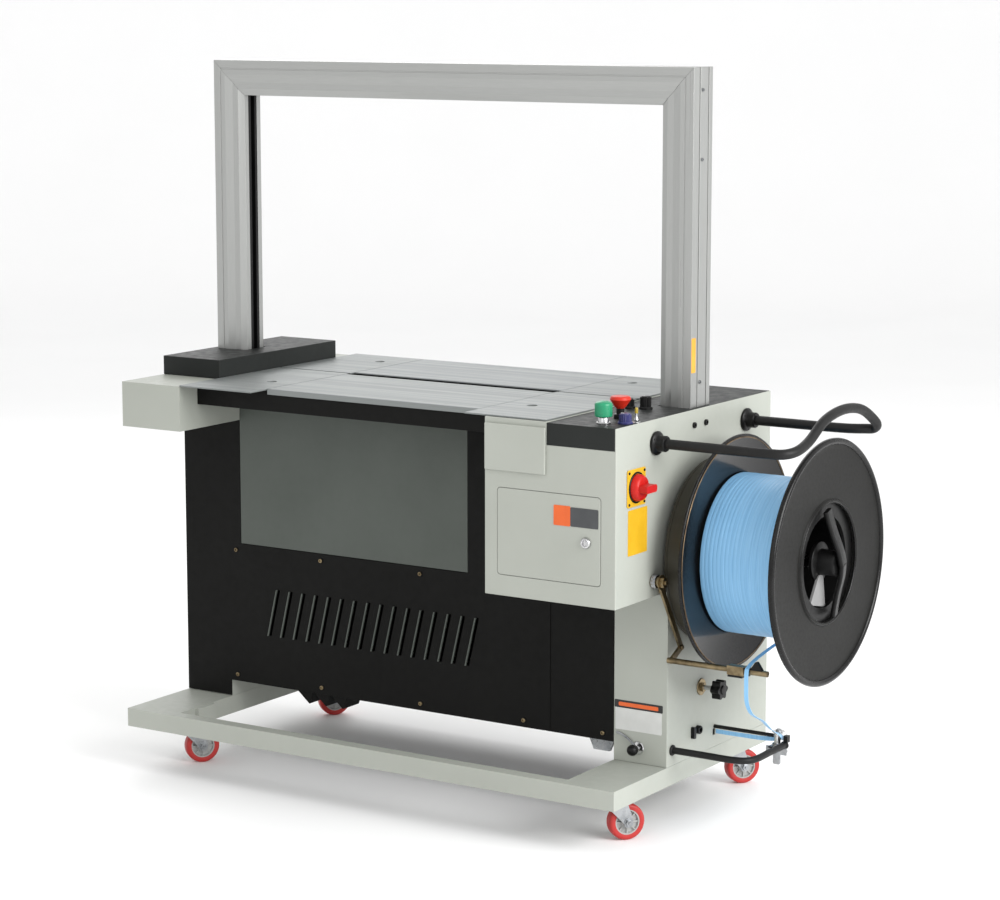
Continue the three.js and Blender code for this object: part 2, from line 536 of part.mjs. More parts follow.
const makeHeadFrame = () => {
  const [yNear, yFar] = [CROSS_Y[0][1] + GAP, CROSS_Y[1][0] - GAP];
  const sides = HEAD_X.map((x) => {
    const shape = outline([[yNear, CROSS_TOP], [yNear, 690], [yNear + 60, 600], [yFar - 60, 600],
      [yFar, 690], [yFar, CROSS_TOP]]);
    for (const [z, r] of [[FEED.z, FEED.axle + 0.3], [PINCH.z, PINCH.axle + 0.3]]) {
      const bore = new THREE.Path();
      bore.absarc(FEED.y, z, r, 0, 2 * Math.PI);
      shape.holes.push(bore);
    }
    const plate = extrude(shape, HEAD_PLATE, 16);
    return plate.rotateX(Math.PI / 2).rotateZ(Math.PI / 2).translate(x, 0, 0);
  });
  const base = box(HEAD_X[0], HEAD_X[1] + HEAD_PLATE, yNear + 60, yFar - 60, 600, 600 + HEAD_PLATE);
  const tie = box(HEAD_X[0], HEAD_X[1] + HEAD_PLATE, yFar - 12, yFar - 2, 760, 800);
  return join(...sides, base, tie);
};

const makeDriveMotor = () => join(
  rod(MOTOR.radius, 'y', 480, 640, ARCH_MID, MOTOR.z, 32),
  rod(MOTOR.radius - 8, 'y', 466, 490, ARCH_MID, MOTOR.z, 32),
  box(ARCH_MID - 48, ARCH_MID + 48, 638, 740, MOTOR.z - 60, MOTOR.z + 70));

const makeRoller = (radius, axle, z) => join(
  rod(radius, 'x', ARCH_MID - 11, ARCH_MID + 11, FEED.y, z, 24),
  rod(axle, 'x', HEAD_X[0] - 6, HEAD_X[1] + HEAD_PLATE + 6, FEED.y, z, 16));

add('head_frame', makeHeadFrame(), STEEL);
add('drive_motor', makeDriveMotor(), STEEL);
add('feed_roller', makeRoller(FEED.radius, FEED.axle, FEED.z), STEEL);
add('pinch_roller', makeRoller(PINCH.radius, PINCH.axle, PINCH.z), STEEL);
add('sealing_anvil', box(ARCH_MID - ANVIL.halfX, ARCH_MID + ANVIL.halfX, ANVIL.y0, ANVIL.y1,
  ANVIL.bottom, ANVIL.top), STEEL);

// ---------------------------------------------------------------- reel
const SHAFT_RADIUS = 15;
const INNER_FLANGE_Y = -76;      // outboard face of the inner flange
const INNER_FLANGE_RADIUS = 240;
const BRAKE_DRUM = { radius: 188, thickness: 6, y: -12 };
const OUTER_FLANGE_Y = -278;
const RIM = 7;                   // half thickness of the rolled rims
const OPENING_RADIUS = 122;      // opening in the outer flange

const reel = new THREE.Group();
reel.position.set(REEL_X, 0, REEL_Z);
machine.add(reel);

const makeReelShaft = () => lathe([
  [0, -GAP], [30, -GAP], [30, -8], [SHAFT_RADIUS, -12], [SHAFT_RADIUS, -268], [0, -268],
], 32);

// Flange disc with a rolled rim, the brake drum behind it and the hollow core the strap is wound on.
const makeInnerFlange = () => {
  const [back, drumEnd, rim] = [INNER_FLANGE_Y + 4, -252, INNER_FLANGE_RADIUS];
  const { radius, thickness, y } = BRAKE_DRUM;
  return lathe([
    [SHAFT_RADIUS + 0.5, back], [radius - thickness, back], [radius - thickness, y], [radius, y],
    [radius, back], [rim - 8, back], [rim - 6, back + 3], [rim - 1, back + 3], [rim, back + 2],
    [rim, INNER_FLANGE_Y - 1], [rim - 3, INNER_FLANGE_Y - 3], [rim - 8, INNER_FLANGE_Y - 3],
    [rim - 11, INNER_FLANGE_Y], [CORE_RADIUS - 2, INNER_FLANGE_Y], [CORE_RADIUS - 2, drumEnd],
    [SHAFT_RADIUS + 0.5, drumEnd], [SHAFT_RADIUS + 0.5, drumEnd + 5], [CORE_RADIUS - 7, drumEnd + 5],
    [CORE_RADIUS - 7, INNER_FLANGE_Y + 2], [SHAFT_RADIUS + 0.5, INNER_FLANGE_Y + 2], [SHAFT_RADIUS + 0.5, back],
  ]);
};

const makeOuterFlange = () => {
  const face = OUTER_FLANGE_Y;
  return lathe([
    [OPENING_RADIUS, face + 4], [FLANGE_RADIUS - 16, face + 4], [FLANGE_RADIUS - 12, face + 10],
    [FLANGE_RADIUS - 5, face + 10], [FLANGE_RADIUS, face + 4], [FLANGE_RADIUS, face - 3],
    [FLANGE_RADIUS - 5, face - RIM], [FLANGE_RADIUS - 14, face - RIM], [FLANGE_RADIUS - 18, face],
    [OPENING_RADIUS + 8, face], [OPENING_RADIUS + 6, face - 5], [OPENING_RADIUS + 1, face - 5],
    [OPENING_RADIUS - 2, face], [OPENING_RADIUS, face + 4],
  ]);
};

const makeStrapCoil = () => ring(CORE_RADIUS, COIL_RADIUS, OUTER_FLANGE_Y + 12, INNER_FLANGE_Y - 2);

// Spider that clamps the outer flange: a hub disc behind the flange with a two-arm grip in front.
const makeLockHandle = () => {
  const tilt = -16 * Math.PI / 180;
  const hub = ring(SHAFT_RADIUS + 0.5, 40, OUTER_FLANGE_Y + 14, OUTER_FLANGE_Y + 24, 20);
  const cap = rod(26, 'y', OUTER_FLANGE_Y - 8, OUTER_FLANGE_Y + 9.5, 0, 0, 20);
  const collar = ring(SHAFT_RADIUS + 0.5, 26, OUTER_FLANGE_Y + 8, OUTER_FLANGE_Y + 20, 20);
  const arms = box(-11, 11, OUTER_FLANGE_Y - 12, OUTER_FLANGE_Y - 2, -112, 112).rotateY(tilt);
  return join(hub, cap, collar, arms);
};

add('reel_shaft', makeReelShaft(), CHROME, reel);
add('reel_inner_flange', makeInnerFlange(), CHARCOAL, reel);
add('strap_coil', makeStrapCoil(), STRAP_BLUE, reel);
add('reel_outer_flange', makeOuterFlange(), CHARCOAL, reel);
add('reel_lock_handle', makeLockHandle(), BLACK_PLASTIC, reel);

// ---------------------------------------------------------------- reel brake
const BRAKE = { pivotX: 145, pivotZ: 533, barX: 196, barZ: 364, barEnd: -232 };
const makeBrakeLever = () => {
  const { pivotX, pivotZ, barX, barZ, barEnd } = BRAKE;
  const elbow = [pivotX + 90, pivotZ - 149];
  const link = (a, b, width) => {
    const angle = Math.atan2(b[1] - a[1], b[0] - a[0]);
    const [nx, nz] = [-Math.sin(angle) * width / 2, Math.cos(angle) * width / 2];
    return sheetXZ(outline([[a[0] + nx, a[1] + nz], [a[0] - nx, a[1] - nz], [b[0] - nx, b[1] - nz],
      [b[0] + nx, b[1] + nz]]), -18, -13);
  };
  return join(
    rod(10, 'y', -24, -GAP, pivotX, pivotZ),
    link([pivotX, pivotZ], elbow, 12), rod(6, 'y', -18, -13, ...elbow),
    link(elbow, [barX, barZ], 12), rod(6, 'y', barEnd, -8, barX, barZ, 16));
};
add('brake_lever', makeBrakeLever(), ZINC);

// ---------------------------------------------------------------- reel guard
const GUARD = { x: [153, 528], z: 808, reach: -290, radius: 10, rise: 60 };
const makeGuardTube = () => {
  const { x: [x0, x1], z, reach, rise } = GUARD;
  return tube([
    [x0, -1, z], [x0, -90, z], [x0, -180, z], [x0, reach + 44, z], [x0 + 6, reach + 14, z],
    [x0 + 30, reach, z + 3], [x0 + 86, reach, z + 15], [x0 + 146, reach, z + 45], [x0 + 197, reach, z + rise - 3],
    [x0 + 257, reach, z + rise], [x1 - 58, reach, z + rise - 9], [x1 - 14, reach, z + 32], [x1 + 17, reach, z + 10],
    [x1 + 25, reach + 11, z + 1], [x1 + 17, reach + 28, z], [x1 + 5, reach + 52, z], [x1, reach + 90, z],
    [x1, -90, z], [x1, -1, z],
  ], GUARD.radius, 68);
};
const makeGuardSocket = () => lathe([
  [GUARD.radius + 0.4, -GAP], [24, -GAP], [24, -6], [16, -9], [16, -26], [GUARD.radius + 0.4, -26],
  [GUARD.radius + 0.4, -GAP],
], 20);
add('reel_guard', makeGuardTube(), BLACK_PLASTIC);
GUARD.x.forEach((x, i) => {
  const socket = add(`guard_socket_${['infeed', 'outfeed'][i]}`, makeGuardSocket(), BLACK_PLASTIC);
  socket.position.set(x, 0, GUARD.z);
});

// ---------------------------------------------------------------- strap guide under the reel
const GUIDE = { x0: 230, x1: 384, y: -174, z: 170, radius: 7 };
const ROLLER = { x: 399, y: -154, z0: 166, z1: 195, radius: 9, flange: 13, pin: 3 };
// Bent arm with an angle bracket at its end: an upright plate with a tail, and a shelf that holds the roller's pin.
const makeGuideArm = () => join(
  tube([[GUIDE.x0, -1, GUIDE.z], [GUIDE.x0, -70, GUIDE.z], [GUIDE.x0, GUIDE.y + 30, GUIDE.z],
    [GUIDE.x0 + 9, GUIDE.y + 9, GUIDE.z], [GUIDE.x0 + 30, GUIDE.y, GUIDE.z], [GUIDE.x1 - 60, GUIDE.y, GUIDE.z],
    [GUIDE.x1, GUIDE.y, GUIDE.z]], GUIDE.radius, 26, 10),
  box(GUIDE.x1 - 2, GUIDE.x1 + 2, GUIDE.y - 6, -134, 150, ROLLER.z0 - 1),
  box(GUIDE.x1 - 2, GUIDE.x1 + 2, -166, -150, 129, 152),
  box(GUIDE.x1 - 2, ROLLER.x + 15, ROLLER.y - 15, ROLLER.y + 15, ROLLER.z0 - 5, ROLLER.z0 - 1),
  rod(ROLLER.pin, 'z', ROLLER.z0 - 3, ROLLER.z1 + 4, ROLLER.x, ROLLER.y, 12));
const makeGuideRoller = () => {
  const { z0, z1, radius, flange, pin } = ROLLER;
  return lathe([[pin + 0.4, z0], [flange, z0], [flange, z0 + 3], [radius, z0 + 4], [radius, z1 - 4],
    [flange, z1 - 3], [flange, z1], [pin + 0.4, z1], [pin + 0.4, z0]], 24)
    .rotateX(Math.PI / 2).translate(ROLLER.x, ROLLER.y, 0);
};
const makeGuideKnob = () => join(rod(14, 'y', -3, -GAP, 348, 277), rod(4, 'y', -32, -2, 348, 277, 12),
  rod(14, 'y', -54, -31, 348, 277));
const makeColumnKnob = () => join(rod(4, 'x', COLUMN_X - 14, COLUMN_X - GAP, 66, 170, 12),
  rod(14, 'x', COLUMN_X - 32, COLUMN_X - 13, 66, 170));
add('guide_arm', makeGuideArm(), BLACK_PLASTIC);
add('guide_rod', rod(4, 'y', -138, -GAP, STRAP_ENTRY.x, 181, 16), STEEL);
add('guide_roller', makeGuideRoller(), STEEL);
add('guide_knob', makeGuideKnob(), BLACK_PLASTIC);
add('column_knob', makeColumnKnob(), BLACK_PLASTIC);

// Strap from the underside of the coil, over the brake bar, round the roller and into the housing.
const makeStrapLead = () => {
  const lane = -190;
  const { barX, barZ } = BRAKE;
  const outer = ROLLER.radius + 2.8;
  return tube([
    [REEL_X + 4, lane, REEL_Z - COIL_RADIUS - 3], [320, lane, 398], [262, lane, 390], [barX + 12, lane, barZ + 15],
    [barX - 1, lane, barZ + 9.4], [barX - 6.8, lane, barZ + 6.8], [barX - 9.4, lane, barZ], [barX - 10, lane, 340],
    [barX - 7, lane, 304], [206, lane, 279], [232, lane + 2, 264], [266, lane + 5, 249], [320, lane + 13, 218], [368, -172, 195],
    [ROLLER.x - 8, ROLLER.y - outer - 1, 184], [ROLLER.x + 3, ROLLER.y - outer, 181],
    [ROLLER.x + outer - 2, ROLLER.y - 6, 178], [ROLLER.x + outer - 1, ROLLER.y + 6, 175],
    [STRAP_ENTRY.x, -120, 172], [STRAP_ENTRY.x, -60, STRAP_ENTRY.z], [STRAP_ENTRY.x, -4, STRAP_ENTRY.z],
  ], 1.4, 110, 6);
};
add('strap_lead', makeStrapLead(), STRAP_BLUE);

// ---------------------------------------------------------------- centre the model over its footprint
machine.updateMatrixWorld(true);
const extent = new THREE.Box3().setFromObject(machine, true);
machine.position.set(-(extent.min.x + extent.max.x) / 2, -(extent.min.y + extent.max.y) / 2, 0);
machine.updateMatrixWorld(true);

export default machine;
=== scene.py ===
# Arch strapping machine: finishes, detail pieces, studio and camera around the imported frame.
# Sizes are millimetres measured as on the machine: X from the infeed face, Y from the operator's
# face (the reel is at negative Y), Z from the floor. at() and placed() turn them into the frame's metres.
import json
import math
import random

import bmesh
import bpy
from mathutils import Matrix, Vector


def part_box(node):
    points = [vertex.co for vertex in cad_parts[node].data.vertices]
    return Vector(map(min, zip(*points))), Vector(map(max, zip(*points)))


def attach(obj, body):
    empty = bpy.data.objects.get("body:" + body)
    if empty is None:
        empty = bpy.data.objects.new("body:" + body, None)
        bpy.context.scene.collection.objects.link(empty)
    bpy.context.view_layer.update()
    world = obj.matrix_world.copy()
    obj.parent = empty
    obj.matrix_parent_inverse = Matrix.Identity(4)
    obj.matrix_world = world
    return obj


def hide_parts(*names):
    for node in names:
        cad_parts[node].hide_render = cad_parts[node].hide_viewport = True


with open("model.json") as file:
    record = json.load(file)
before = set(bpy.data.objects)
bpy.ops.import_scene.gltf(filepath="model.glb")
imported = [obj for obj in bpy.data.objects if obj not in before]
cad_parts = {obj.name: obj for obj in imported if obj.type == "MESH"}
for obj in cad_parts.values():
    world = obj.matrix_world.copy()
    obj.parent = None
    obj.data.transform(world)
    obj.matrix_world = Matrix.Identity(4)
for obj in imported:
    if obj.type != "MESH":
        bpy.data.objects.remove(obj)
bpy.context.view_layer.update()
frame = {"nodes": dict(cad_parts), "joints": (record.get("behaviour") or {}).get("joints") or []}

MM = 0.001
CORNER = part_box("base_frame")[0]
JOINTS = {joint["name"]: joint for joint in frame["joints"]}
MACHINE = "machine"
RIGHT, LEFT = (1, 0, 0), (-1, 0, 0)
AWAY, NEAR = (0, 1, 0), (0, -1, 0)
UP = (0, 0, 1)


def at(x, y, z):
    """The frame's point for a place on the machine."""
    return Vector((CORNER.x + x * MM, CORNER.y + y * MM, z * MM))


def extent(node):
    """Lowest and highest corner of a CAD node, in machine millimetres."""
    low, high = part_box(node)
    corner = Vector((CORNER.x, CORNER.y, 0))
    return (low - corner) / MM, (high - corner) / MM


def middle(node):
    low, high = extent(node)
    return (low + high) / 2


def machine_point(point):
    """Machine millimetres of a point given in the frame's metres."""
    return (Vector(point) - Vector((CORNER.x, CORNER.y, 0))) / MM


def placed(x, y, z, out, up=UP):
    """Places drawings in millimetres, (right, up, out), with `out` along the given direction."""
    out = Vector(out).normalized()
    if abs(out.dot(Vector(up))) > 0.99:
        up = AWAY
    right = Vector(up).cross(out).normalized()
    turn = Matrix((right, out.cross(right), out)).transposed().to_4x4()
    return Matrix.Translation(at(x, y, z)) @ turn @ Matrix.Scale(MM, 4)


# ---------------------------------------------------------------- finishes
def tone(red, green, blue):
    """Scene-linear colour of an 8-bit display colour."""
    def channel(value):
        value /= 255
        return value / 12.92 if value <= 0.04045 else ((value + 0.055) / 1.055) ** 2.4
    return (channel(red), channel(green), channel(blue), 1.0)


class Finish:
    """A procedural material around one Principled shader, in the object's own coordinates."""

    def __init__(self, name, roughness, metallic=0.0, **settings):
        self.material = bpy.data.materials.new(name)
        self.material.use_nodes = True
        self.nodes = self.material.node_tree.nodes
        self.links = self.material.node_tree.links
        self.shader = self.nodes["Principled BSDF"]
        self.shader.inputs["Roughness"].default_value = roughness
        self.shader.inputs["Metallic"].default_value = metallic
        for setting, value in settings.items():
            socket = setting.replace("_", " ").title().replace("Ior", "IOR")
            self.shader.inputs[socket].default_value = value

    def noise(self, scale, stretch=(1, 1, 1), detail=2.0):
        coordinates = self.nodes.new("ShaderNodeTexCoord")
        mapping = self.nodes.new("ShaderNodeMapping")
        texture = self.nodes.new("ShaderNodeTexNoise")
        mapping.inputs["Scale"].default_value = stretch
        texture.inputs["Scale"].default_value = scale
        texture.inputs["Detail"].default_value = detail
        self.links.new(coordinates.outputs["Object"], mapping.inputs["Vector"])
        self.links.new(mapping.outputs["Vector"], texture.inputs["Vector"])
        return texture.outputs["Fac"]

    def colour(self, factor, first, second, start=0.35, end=0.65):
        ramp = self.nodes.new("ShaderNodeValToRGB")
        ramp.color_ramp.elements[0].position = start
        ramp.color_ramp.elements[0].color = tone(*first)
        ramp.color_ramp.elements[1].position = end
        ramp.color_ramp.elements[1].color = tone(*second)
        self.links.new(factor, ramp.inputs["Fac"])
        self.links.new(ramp.outputs["Color"], self.shader.inputs["Base Color"])

    def roughness(self, factor, low, high):
        spread = self.nodes.new("ShaderNodeMapRange")
        spread.inputs["From Min"].default_value = 0.3
        spread.inputs["From Max"].default_value = 0.7
        spread.inputs["To Min"].default_value = low
        spread.inputs["To Max"].default_value = high
        self.links.new(factor, spread.inputs["Value"])
        self.links.new(spread.outputs["Result"], self.shader.inputs["Roughness"])

    def bump(self, height, depth, strength=1.0):
        """Relief `depth` millimetres deep."""
        relief = self.nodes.new("ShaderNodeBump")
        relief.inputs["Strength"].default_value = strength
        relief.inputs["Distance"].default_value = depth * MM
        self.links.new(height, relief.inputs["Height"])
        self.links.new(relief.outputs["Normal"], self.shader.inputs["Normal"])


def powder_coat(name, colour, roughness=0.45, grain=0.05, spread=6, **settings):
    """Sprayed and baked paint: a fine orange peel and a faint cloudiness."""
    finish = Finish(name, roughness, **settings)
    darker = tuple(max(0, c - spread) for c in colour)
    finish.colour(finish.noise(3.5, detail=4.0), darker, colour)
    finish.roughness(finish.noise(60), roughness - 0.06, roughness + 0.08)
    finish.bump(finish.noise(420, detail=1.0), grain)
    return finish.material


def brushed(name, colour, along, roughness=0.34, metallic=1.0, spread=14):
    """Metal with drawn or brushed lines running along one axis."""
    finish = Finish(name, roughness, metallic)
    stretch = tuple(0.02 if axis == along else 1 for axis in "xyz")
    lines = finish.noise(1400, stretch, detail=3.0)
    darker = tuple(max(0, c - spread) for c in colour)
    finish.colour(lines, darker, colour, 0.3, 0.7)
    finish.roughness(finish.noise(90, stretch, detail=3.0), roughness - 0.07, roughness + 0.1)
    finish.bump(lines, 0.012)
    return finish.material


def plated(name, colour, tarnish, roughness=0.22):
    """Zinc or chrome plate with soft cloudy variation."""
    finish = Finish(name, roughness, 1.0)
    finish.colour(finish.noise(45, detail=4.0), tarnish, colour, 0.3, 0.62)
    finish.roughness(finish.noise(160, detail=3.0), roughness - 0.07, roughness + 0.12)
    finish.bump(finish.noise(900), 0.01)
    return finish.material


def moulded(name, colour, roughness=0.4, grain=0.02, spread=5, **settings):
    """Moulded plastic or rubber with a fine grain."""
    finish = Finish(name, roughness, **settings)
    darker = tuple(max(0, c - spread) for c in colour)
    finish.colour(finish.noise(25, detail=3.0), darker, colour)
    finish.roughness(finish.noise(140), roughness - 0.05, roughness + 0.07)
    finish.bump(finish.noise(1100, detail=1.0), grain)
    return finish.material


def printed(name, colour, roughness=0.38):
    """Printed film: a flat smooth label that has picked up a little dust."""
    return moulded(name, colour, roughness, 0.004, 8)


def wound_strap(name):
    """Polypropylene strap wound side by side: fine lines along the winding and pearly shine."""
    finish = Finish(name, 0.34, specular_ior_level=0.4)
    lines = finish.noise(420, (0.02, 1, 0.02), detail=3.0)
    finish.colour(lines, (116, 170, 212), (142, 194, 232), 0.25, 0.75)
    finish.roughness(finish.noise(240, (0.02, 1, 0.02), detail=3.0), 0.28, 0.42)
    finish.bump(lines, 0.03)
    return finish.material


LIGHT_GREY = powder_coat("light_grey_paint", (165, 168, 160), specular_ior_level=0.3)
TABLE = brushed("table_steel", (129, 133, 132), "y", 0.45, 0.4, 6)
TABLE_DARK = brushed("table_steel_outfeed", (132, 136, 136), "y", 0.45, 0.4, 10)
PANEL_BLACK = powder_coat("black_panel_paint", (19, 19, 18), 0.55, 0.07, 3, specular_ior_level=0.1)
# Painted light: this mid grey is painted shade on the upper panel, which is light grey in shadow, and painted
# highlights on the louvre lips.
GREY_PAINTED_SHADE_AND_HIGHLIGHT = powder_coat("grey_painted_shade_and_highlight", (80, 85, 80), 0.5, specular_ior_level=0.3)
CONTROL = powder_coat("control_panel_paint", (42, 44, 43), 0.45, 0.08, specular_ior_level=0.12)
FLANGE = moulded("flange_charcoal", (27, 27, 26), 0.34, 0.004, 2, specular_ior_level=0.08)
FLANGE_BLACK = moulded("flange_black", (18, 18, 19), 0.14, 0.004, 2, specular_ior_level=0.26)
RIM_BLACK = moulded("rim_black", (15, 15, 15), 0.24, 0.01, specular_ior_level=0.25)
# Painted shade: the brake drum's dark olive stands in for the dark crescent beside the inner flange's edge.
BRAKE_DRUM_PAINTED_SHADE = moulded("brake_drum_painted_shade", (58, 56, 48), 0.42, 0.02, specular_ior_level=0.25)
BRASS = plated("rim_brass", (132, 112, 88), (84, 70, 56), 0.4)
ARCH = {axis: brushed(f"arch_aluminium_{axis}", (172, 173, 171), axis, 0.34, 0.8, 6) for axis in "yz"}
CHROME = plated("chrome_plate", (214, 214, 214), (180, 180, 182), 0.16)
ZINC = plated("zinc_plate", (172, 174, 176), (140, 143, 146), 0.3)
PASSIVATED = plated("yellow_zinc_plate", (150, 134, 104), (98, 86, 66), 0.36)
STEEL = brushed("machined_steel", (140, 142, 144), "x", 0.32)
BLACK_PLASTIC = moulded("black_plastic", (17, 17, 17), 0.34, specular_ior_level=0.2)
SOFT_BLACK = moulded("black_sleeve", (24, 24, 24), 0.5, 0.03, specular_ior_level=0.25)
# Painted light: light grey for the wedge in the lower hub, where light falls on the inner wall.
PAINTED_LIT_WEDGE_GREY = moulded("painted_lit_wedge_grey", (134, 134, 134), 0.45)
STRAP = wound_strap("strap_blue")
TYRE = moulded("tyre_red", (172, 38, 34), 0.42)
HUB = moulded("hub_grey", (160, 160, 158), 0.4)
RED = moulded("switch_red", (176, 26, 20), 0.36, specular_ior_level=0.25)
STOP_RED = moulded("stop_red", (190, 46, 30), 0.36, specular_ior_level=0.25)
GREEN = moulded("start_green", (20, 132, 92), 0.3)
NAVY = moulded("knob_navy", (36, 38, 92), 0.34)
YELLOW = printed("plate_yellow", (206, 162, 36))
ORANGE = printed("label_orange", (214, 94, 32))
AMBER = printed("post_label_amber", (218, 158, 44))
LABEL_DARK = printed("label_dark", (66, 68, 70))
LABEL_WHITE = printed("label_white", (198, 199, 196))
LABEL_BLACK = printed("label_black", (26, 26, 26))
TOGGLE_TIP = moulded("toggle_ochre", (150, 128, 34), 0.36)


# ---------------------------------------------------------------- shaping
def arc(centre_a, centre_b, radius, start, end, steps=6):
    """Points along an arc, with its angles in degrees."""
    angles = [math.radians(start + (end - start) * i / steps) for i in range(steps + 1)]
    return [(centre_a + radius * math.cos(a), centre_b + radius * math.sin(a)) for a in angles]


def rounded(corners, radius, steps=4):
    """The outline through these corners with each one rounded off."""
    outline = []
    count = len(corners)
    for i, corner in enumerate(corners):
        here = Vector(corner)
        before, after = Vector(corners[i - 1]) - here, Vector(corners[(i + 1) % count]) - here
        reach = min(radius, before.length * 0.45, after.length * 0.45)
        first, last = here + before.normalized() * reach, here + after.normalized() * reach
        for k in range(steps + 1):
            t = k / steps
            outline.append(tuple(first * (1 - t) ** 2 + here * 2 * t * (1 - t) + last * t ** 2))
    return outline


def rectangle(a0, a1, b0, b1, radius=0.0, steps=4):
    corners = [(a0, b0), (a1, b0), (a1, b1), (a0, b1)]
    return rounded(corners, radius, steps) if radius else corners


def polygon(radius, sides, turn=0.0):
    return arc(0, 0, radius, turn, turn + 360 * (sides - 1) / sides, sides - 1)


def smooth_route(points, per_span=8):
    """A centripetal Catmull-Rom curve through the points."""
    points = [Vector(p) for p in points]
    ends = [points[0] * 2 - points[1], *points, points[-1] * 2 - points[-2]]
    route = []
    for a, b, c, d in zip(ends, ends[1:], ends[2:], ends[3:]):
        ab, bc, cd = [max((q - p).length, 1e-6) ** 0.5 for p, q in ((a, b), (b, c), (c, d))]
        for i in range(per_span):
            t = ab + bc * i / per_span
            p = a * ((ab - t) / ab) + b * (t / ab)
            q = b * ((ab + bc - t) / bc) + c * ((t - ab) / bc)
            r = c * ((ab + bc + cd - t) / cd) + d * ((t - ab - bc) / cd)
            u = p * ((ab + bc - t) / (ab + bc)) + q * (t / (ab + bc))
            v = q * ((ab + bc + cd - t) / (bc + cd)) + r * ((t - ab) / (bc + cd))
            route.append(u * ((ab + bc - t) / bc) + v * ((t - ab) / bc))
    return route + [points[-1]]


class Piece:
    """One mesh put together from closed shells drawn in millimetres."""

    def __init__(self):
        self.mesh = bmesh.new()

    def take(self, shell, place, bevel=0.0, segments=2):
        if bevel:
            sharp = [e for e in shell.edges if e.is_manifold and e.calc_face_angle() > math.radians(35)]
            bmesh.ops.bevel(shell, geom=sharp, offset=bevel, segments=segments, profile=0.5,
                            affect="EDGES", clamp_overlap=True)
        bmesh.ops.recalc_face_normals(shell, faces=shell.faces)
        shell.transform(place)
        carrier = bpy.data.meshes.new("shell")
        shell.to_mesh(carrier)
        shell.free()
        self.mesh.from_mesh(carrier)
        bpy.data.meshes.remove(carrier)
        return self

    def turned(self, profile, place, steps=64, ring=False):
        """A lathe shape about `out` from (radius, height) points; a ring's profile closes on itself."""
        shell = bmesh.new()
        rows = []
        for radius, height in profile:
            count = 1 if radius < 1e-6 else steps
            rows.append([shell.verts.new((radius * math.cos(math.tau * k / count),
                                          radius * math.sin(math.tau * k / count), height))
                         for k in range(count)])
        pairs = list(zip(rows, rows[1:]))
        if ring:
            pairs.append((rows[-1], rows[0]))
        for lower, upper in pairs:
            for k in range(steps):
                n = k + 1
                corners = [lower[k % len(lower)], lower[n % len(lower)],
                           upper[n % len(upper)], upper[k % len(upper)]]
                corners = list(dict.fromkeys(corners))
                if len(corners) > 2:
                    shell.faces.new(corners)
        return self.take(shell, place)

    def prism(self, outline, low, high, place, bevel=0.0, segments=2):
        """An outline drawn in (right, up) and raised from `low` to `high` along `out`."""
        shell = bmesh.new()
        floor = [shell.verts.new((a, b, low)) for a, b in outline]
        roof = [shell.verts.new((a, b, high)) for a, b in outline]
        shell.faces.new(floor[::-1])
        shell.faces.new(roof)
        for k, corner in enumerate(floor):
            n = (k + 1) % len(floor)
            shell.faces.new((corner, floor[n], roof[n], roof[k]))
        return self.take(shell, place, bevel, segments)

    def block(self, x0, x1, y0, y1, z0, z1, bevel=1.0):
        """A box with softened edges, in machine millimetres."""
        outline = rectangle(x0, x1, y0, y1)
        place = Matrix.Translation(at(0, 0, 0)) @ Matrix.Scale(MM, 4)
        return self.prism(outline, z0, z1, place, bevel)

    def swept(self, route, section, up=UP, closed=False):
        """A section drawn in (sideways, up) carried along a route of machine points."""
        shell = bmesh.new()
        points = [at(*p) for p in route]
        count = len(points)
        rows = []
        upward = Vector(up)
        for i, point in enumerate(points):
            before = points[i - 1] if i or closed else point
            after = points[(i + 1) % count] if i < count - 1 or closed else point
            along = (after - before).normalized()
            upward = (upward - along * upward.dot(along)).normalized()
            side = upward.cross(along)
            rows.append([shell.verts.new(point + side * a * MM + upward * b * MM) for a, b in section])
        pairs = list(zip(rows, rows[1:]))
        if closed:
            pairs.append((rows[-1], rows[0]))
        else:
            shell.faces.new(rows[0][::-1])
            shell.faces.new(rows[-1])
        for lower, upper in pairs:
            for k in range(len(section)):
                n = (k + 1) % len(section)
                shell.faces.new((lower[k], lower[n], upper[n], upper[k]))
        return self.take(shell, Matrix.Identity(4))

    def screw(self, x, y, z, out, radius=5.0, height=4.0):
        """A cap screw head with a socket, standing on a face."""
        profile = [(0, height - 2.5), (radius * 0.45, height - 2.5), (radius * 0.5, height),
                   *arc(radius - 0.8, height - 0.8, 0.8, 90, 0, 3), (radius, 0), (0, 0)]
        return self.turned(profile, placed(x, y, z, out), 24)

    def nut(self, x, y, z, out, radius=7.0, height=5.0, stud=3.0):
        """A hexagon nut on a washer with the end of its stud."""
        place = placed(x, y, z, out)
        self.turned([(0, 0), (radius * 1.5, 0), (radius * 1.5, 1.4), (0, 1.4)], place, 32)
        self.prism(polygon(radius * 1.12, 6), 1.2, 1.2 + height, place, 0.6)
        return self.turned([(0, 1), (radius * 0.5, 1), (radius * 0.5, height + stud),
                            (radius * 0.35, height + stud + 1), (0, height + stud + 1)], place, 20)

    def done(self, name, finish, body, slot, *stands_for):
        mesh = bpy.data.meshes.new(name)
        self.mesh.to_mesh(mesh)
        self.mesh.free()
        mesh.shade_smooth()
        mesh.set_sharp_from_angle(angle=math.radians(34))
        mesh.materials.append(finish)
        piece = bpy.data.objects.new(name, mesh)
        bpy.context.scene.collection.objects.link(piece)
        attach(piece, body)
        if stands_for:
            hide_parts(*stands_for)
        return piece


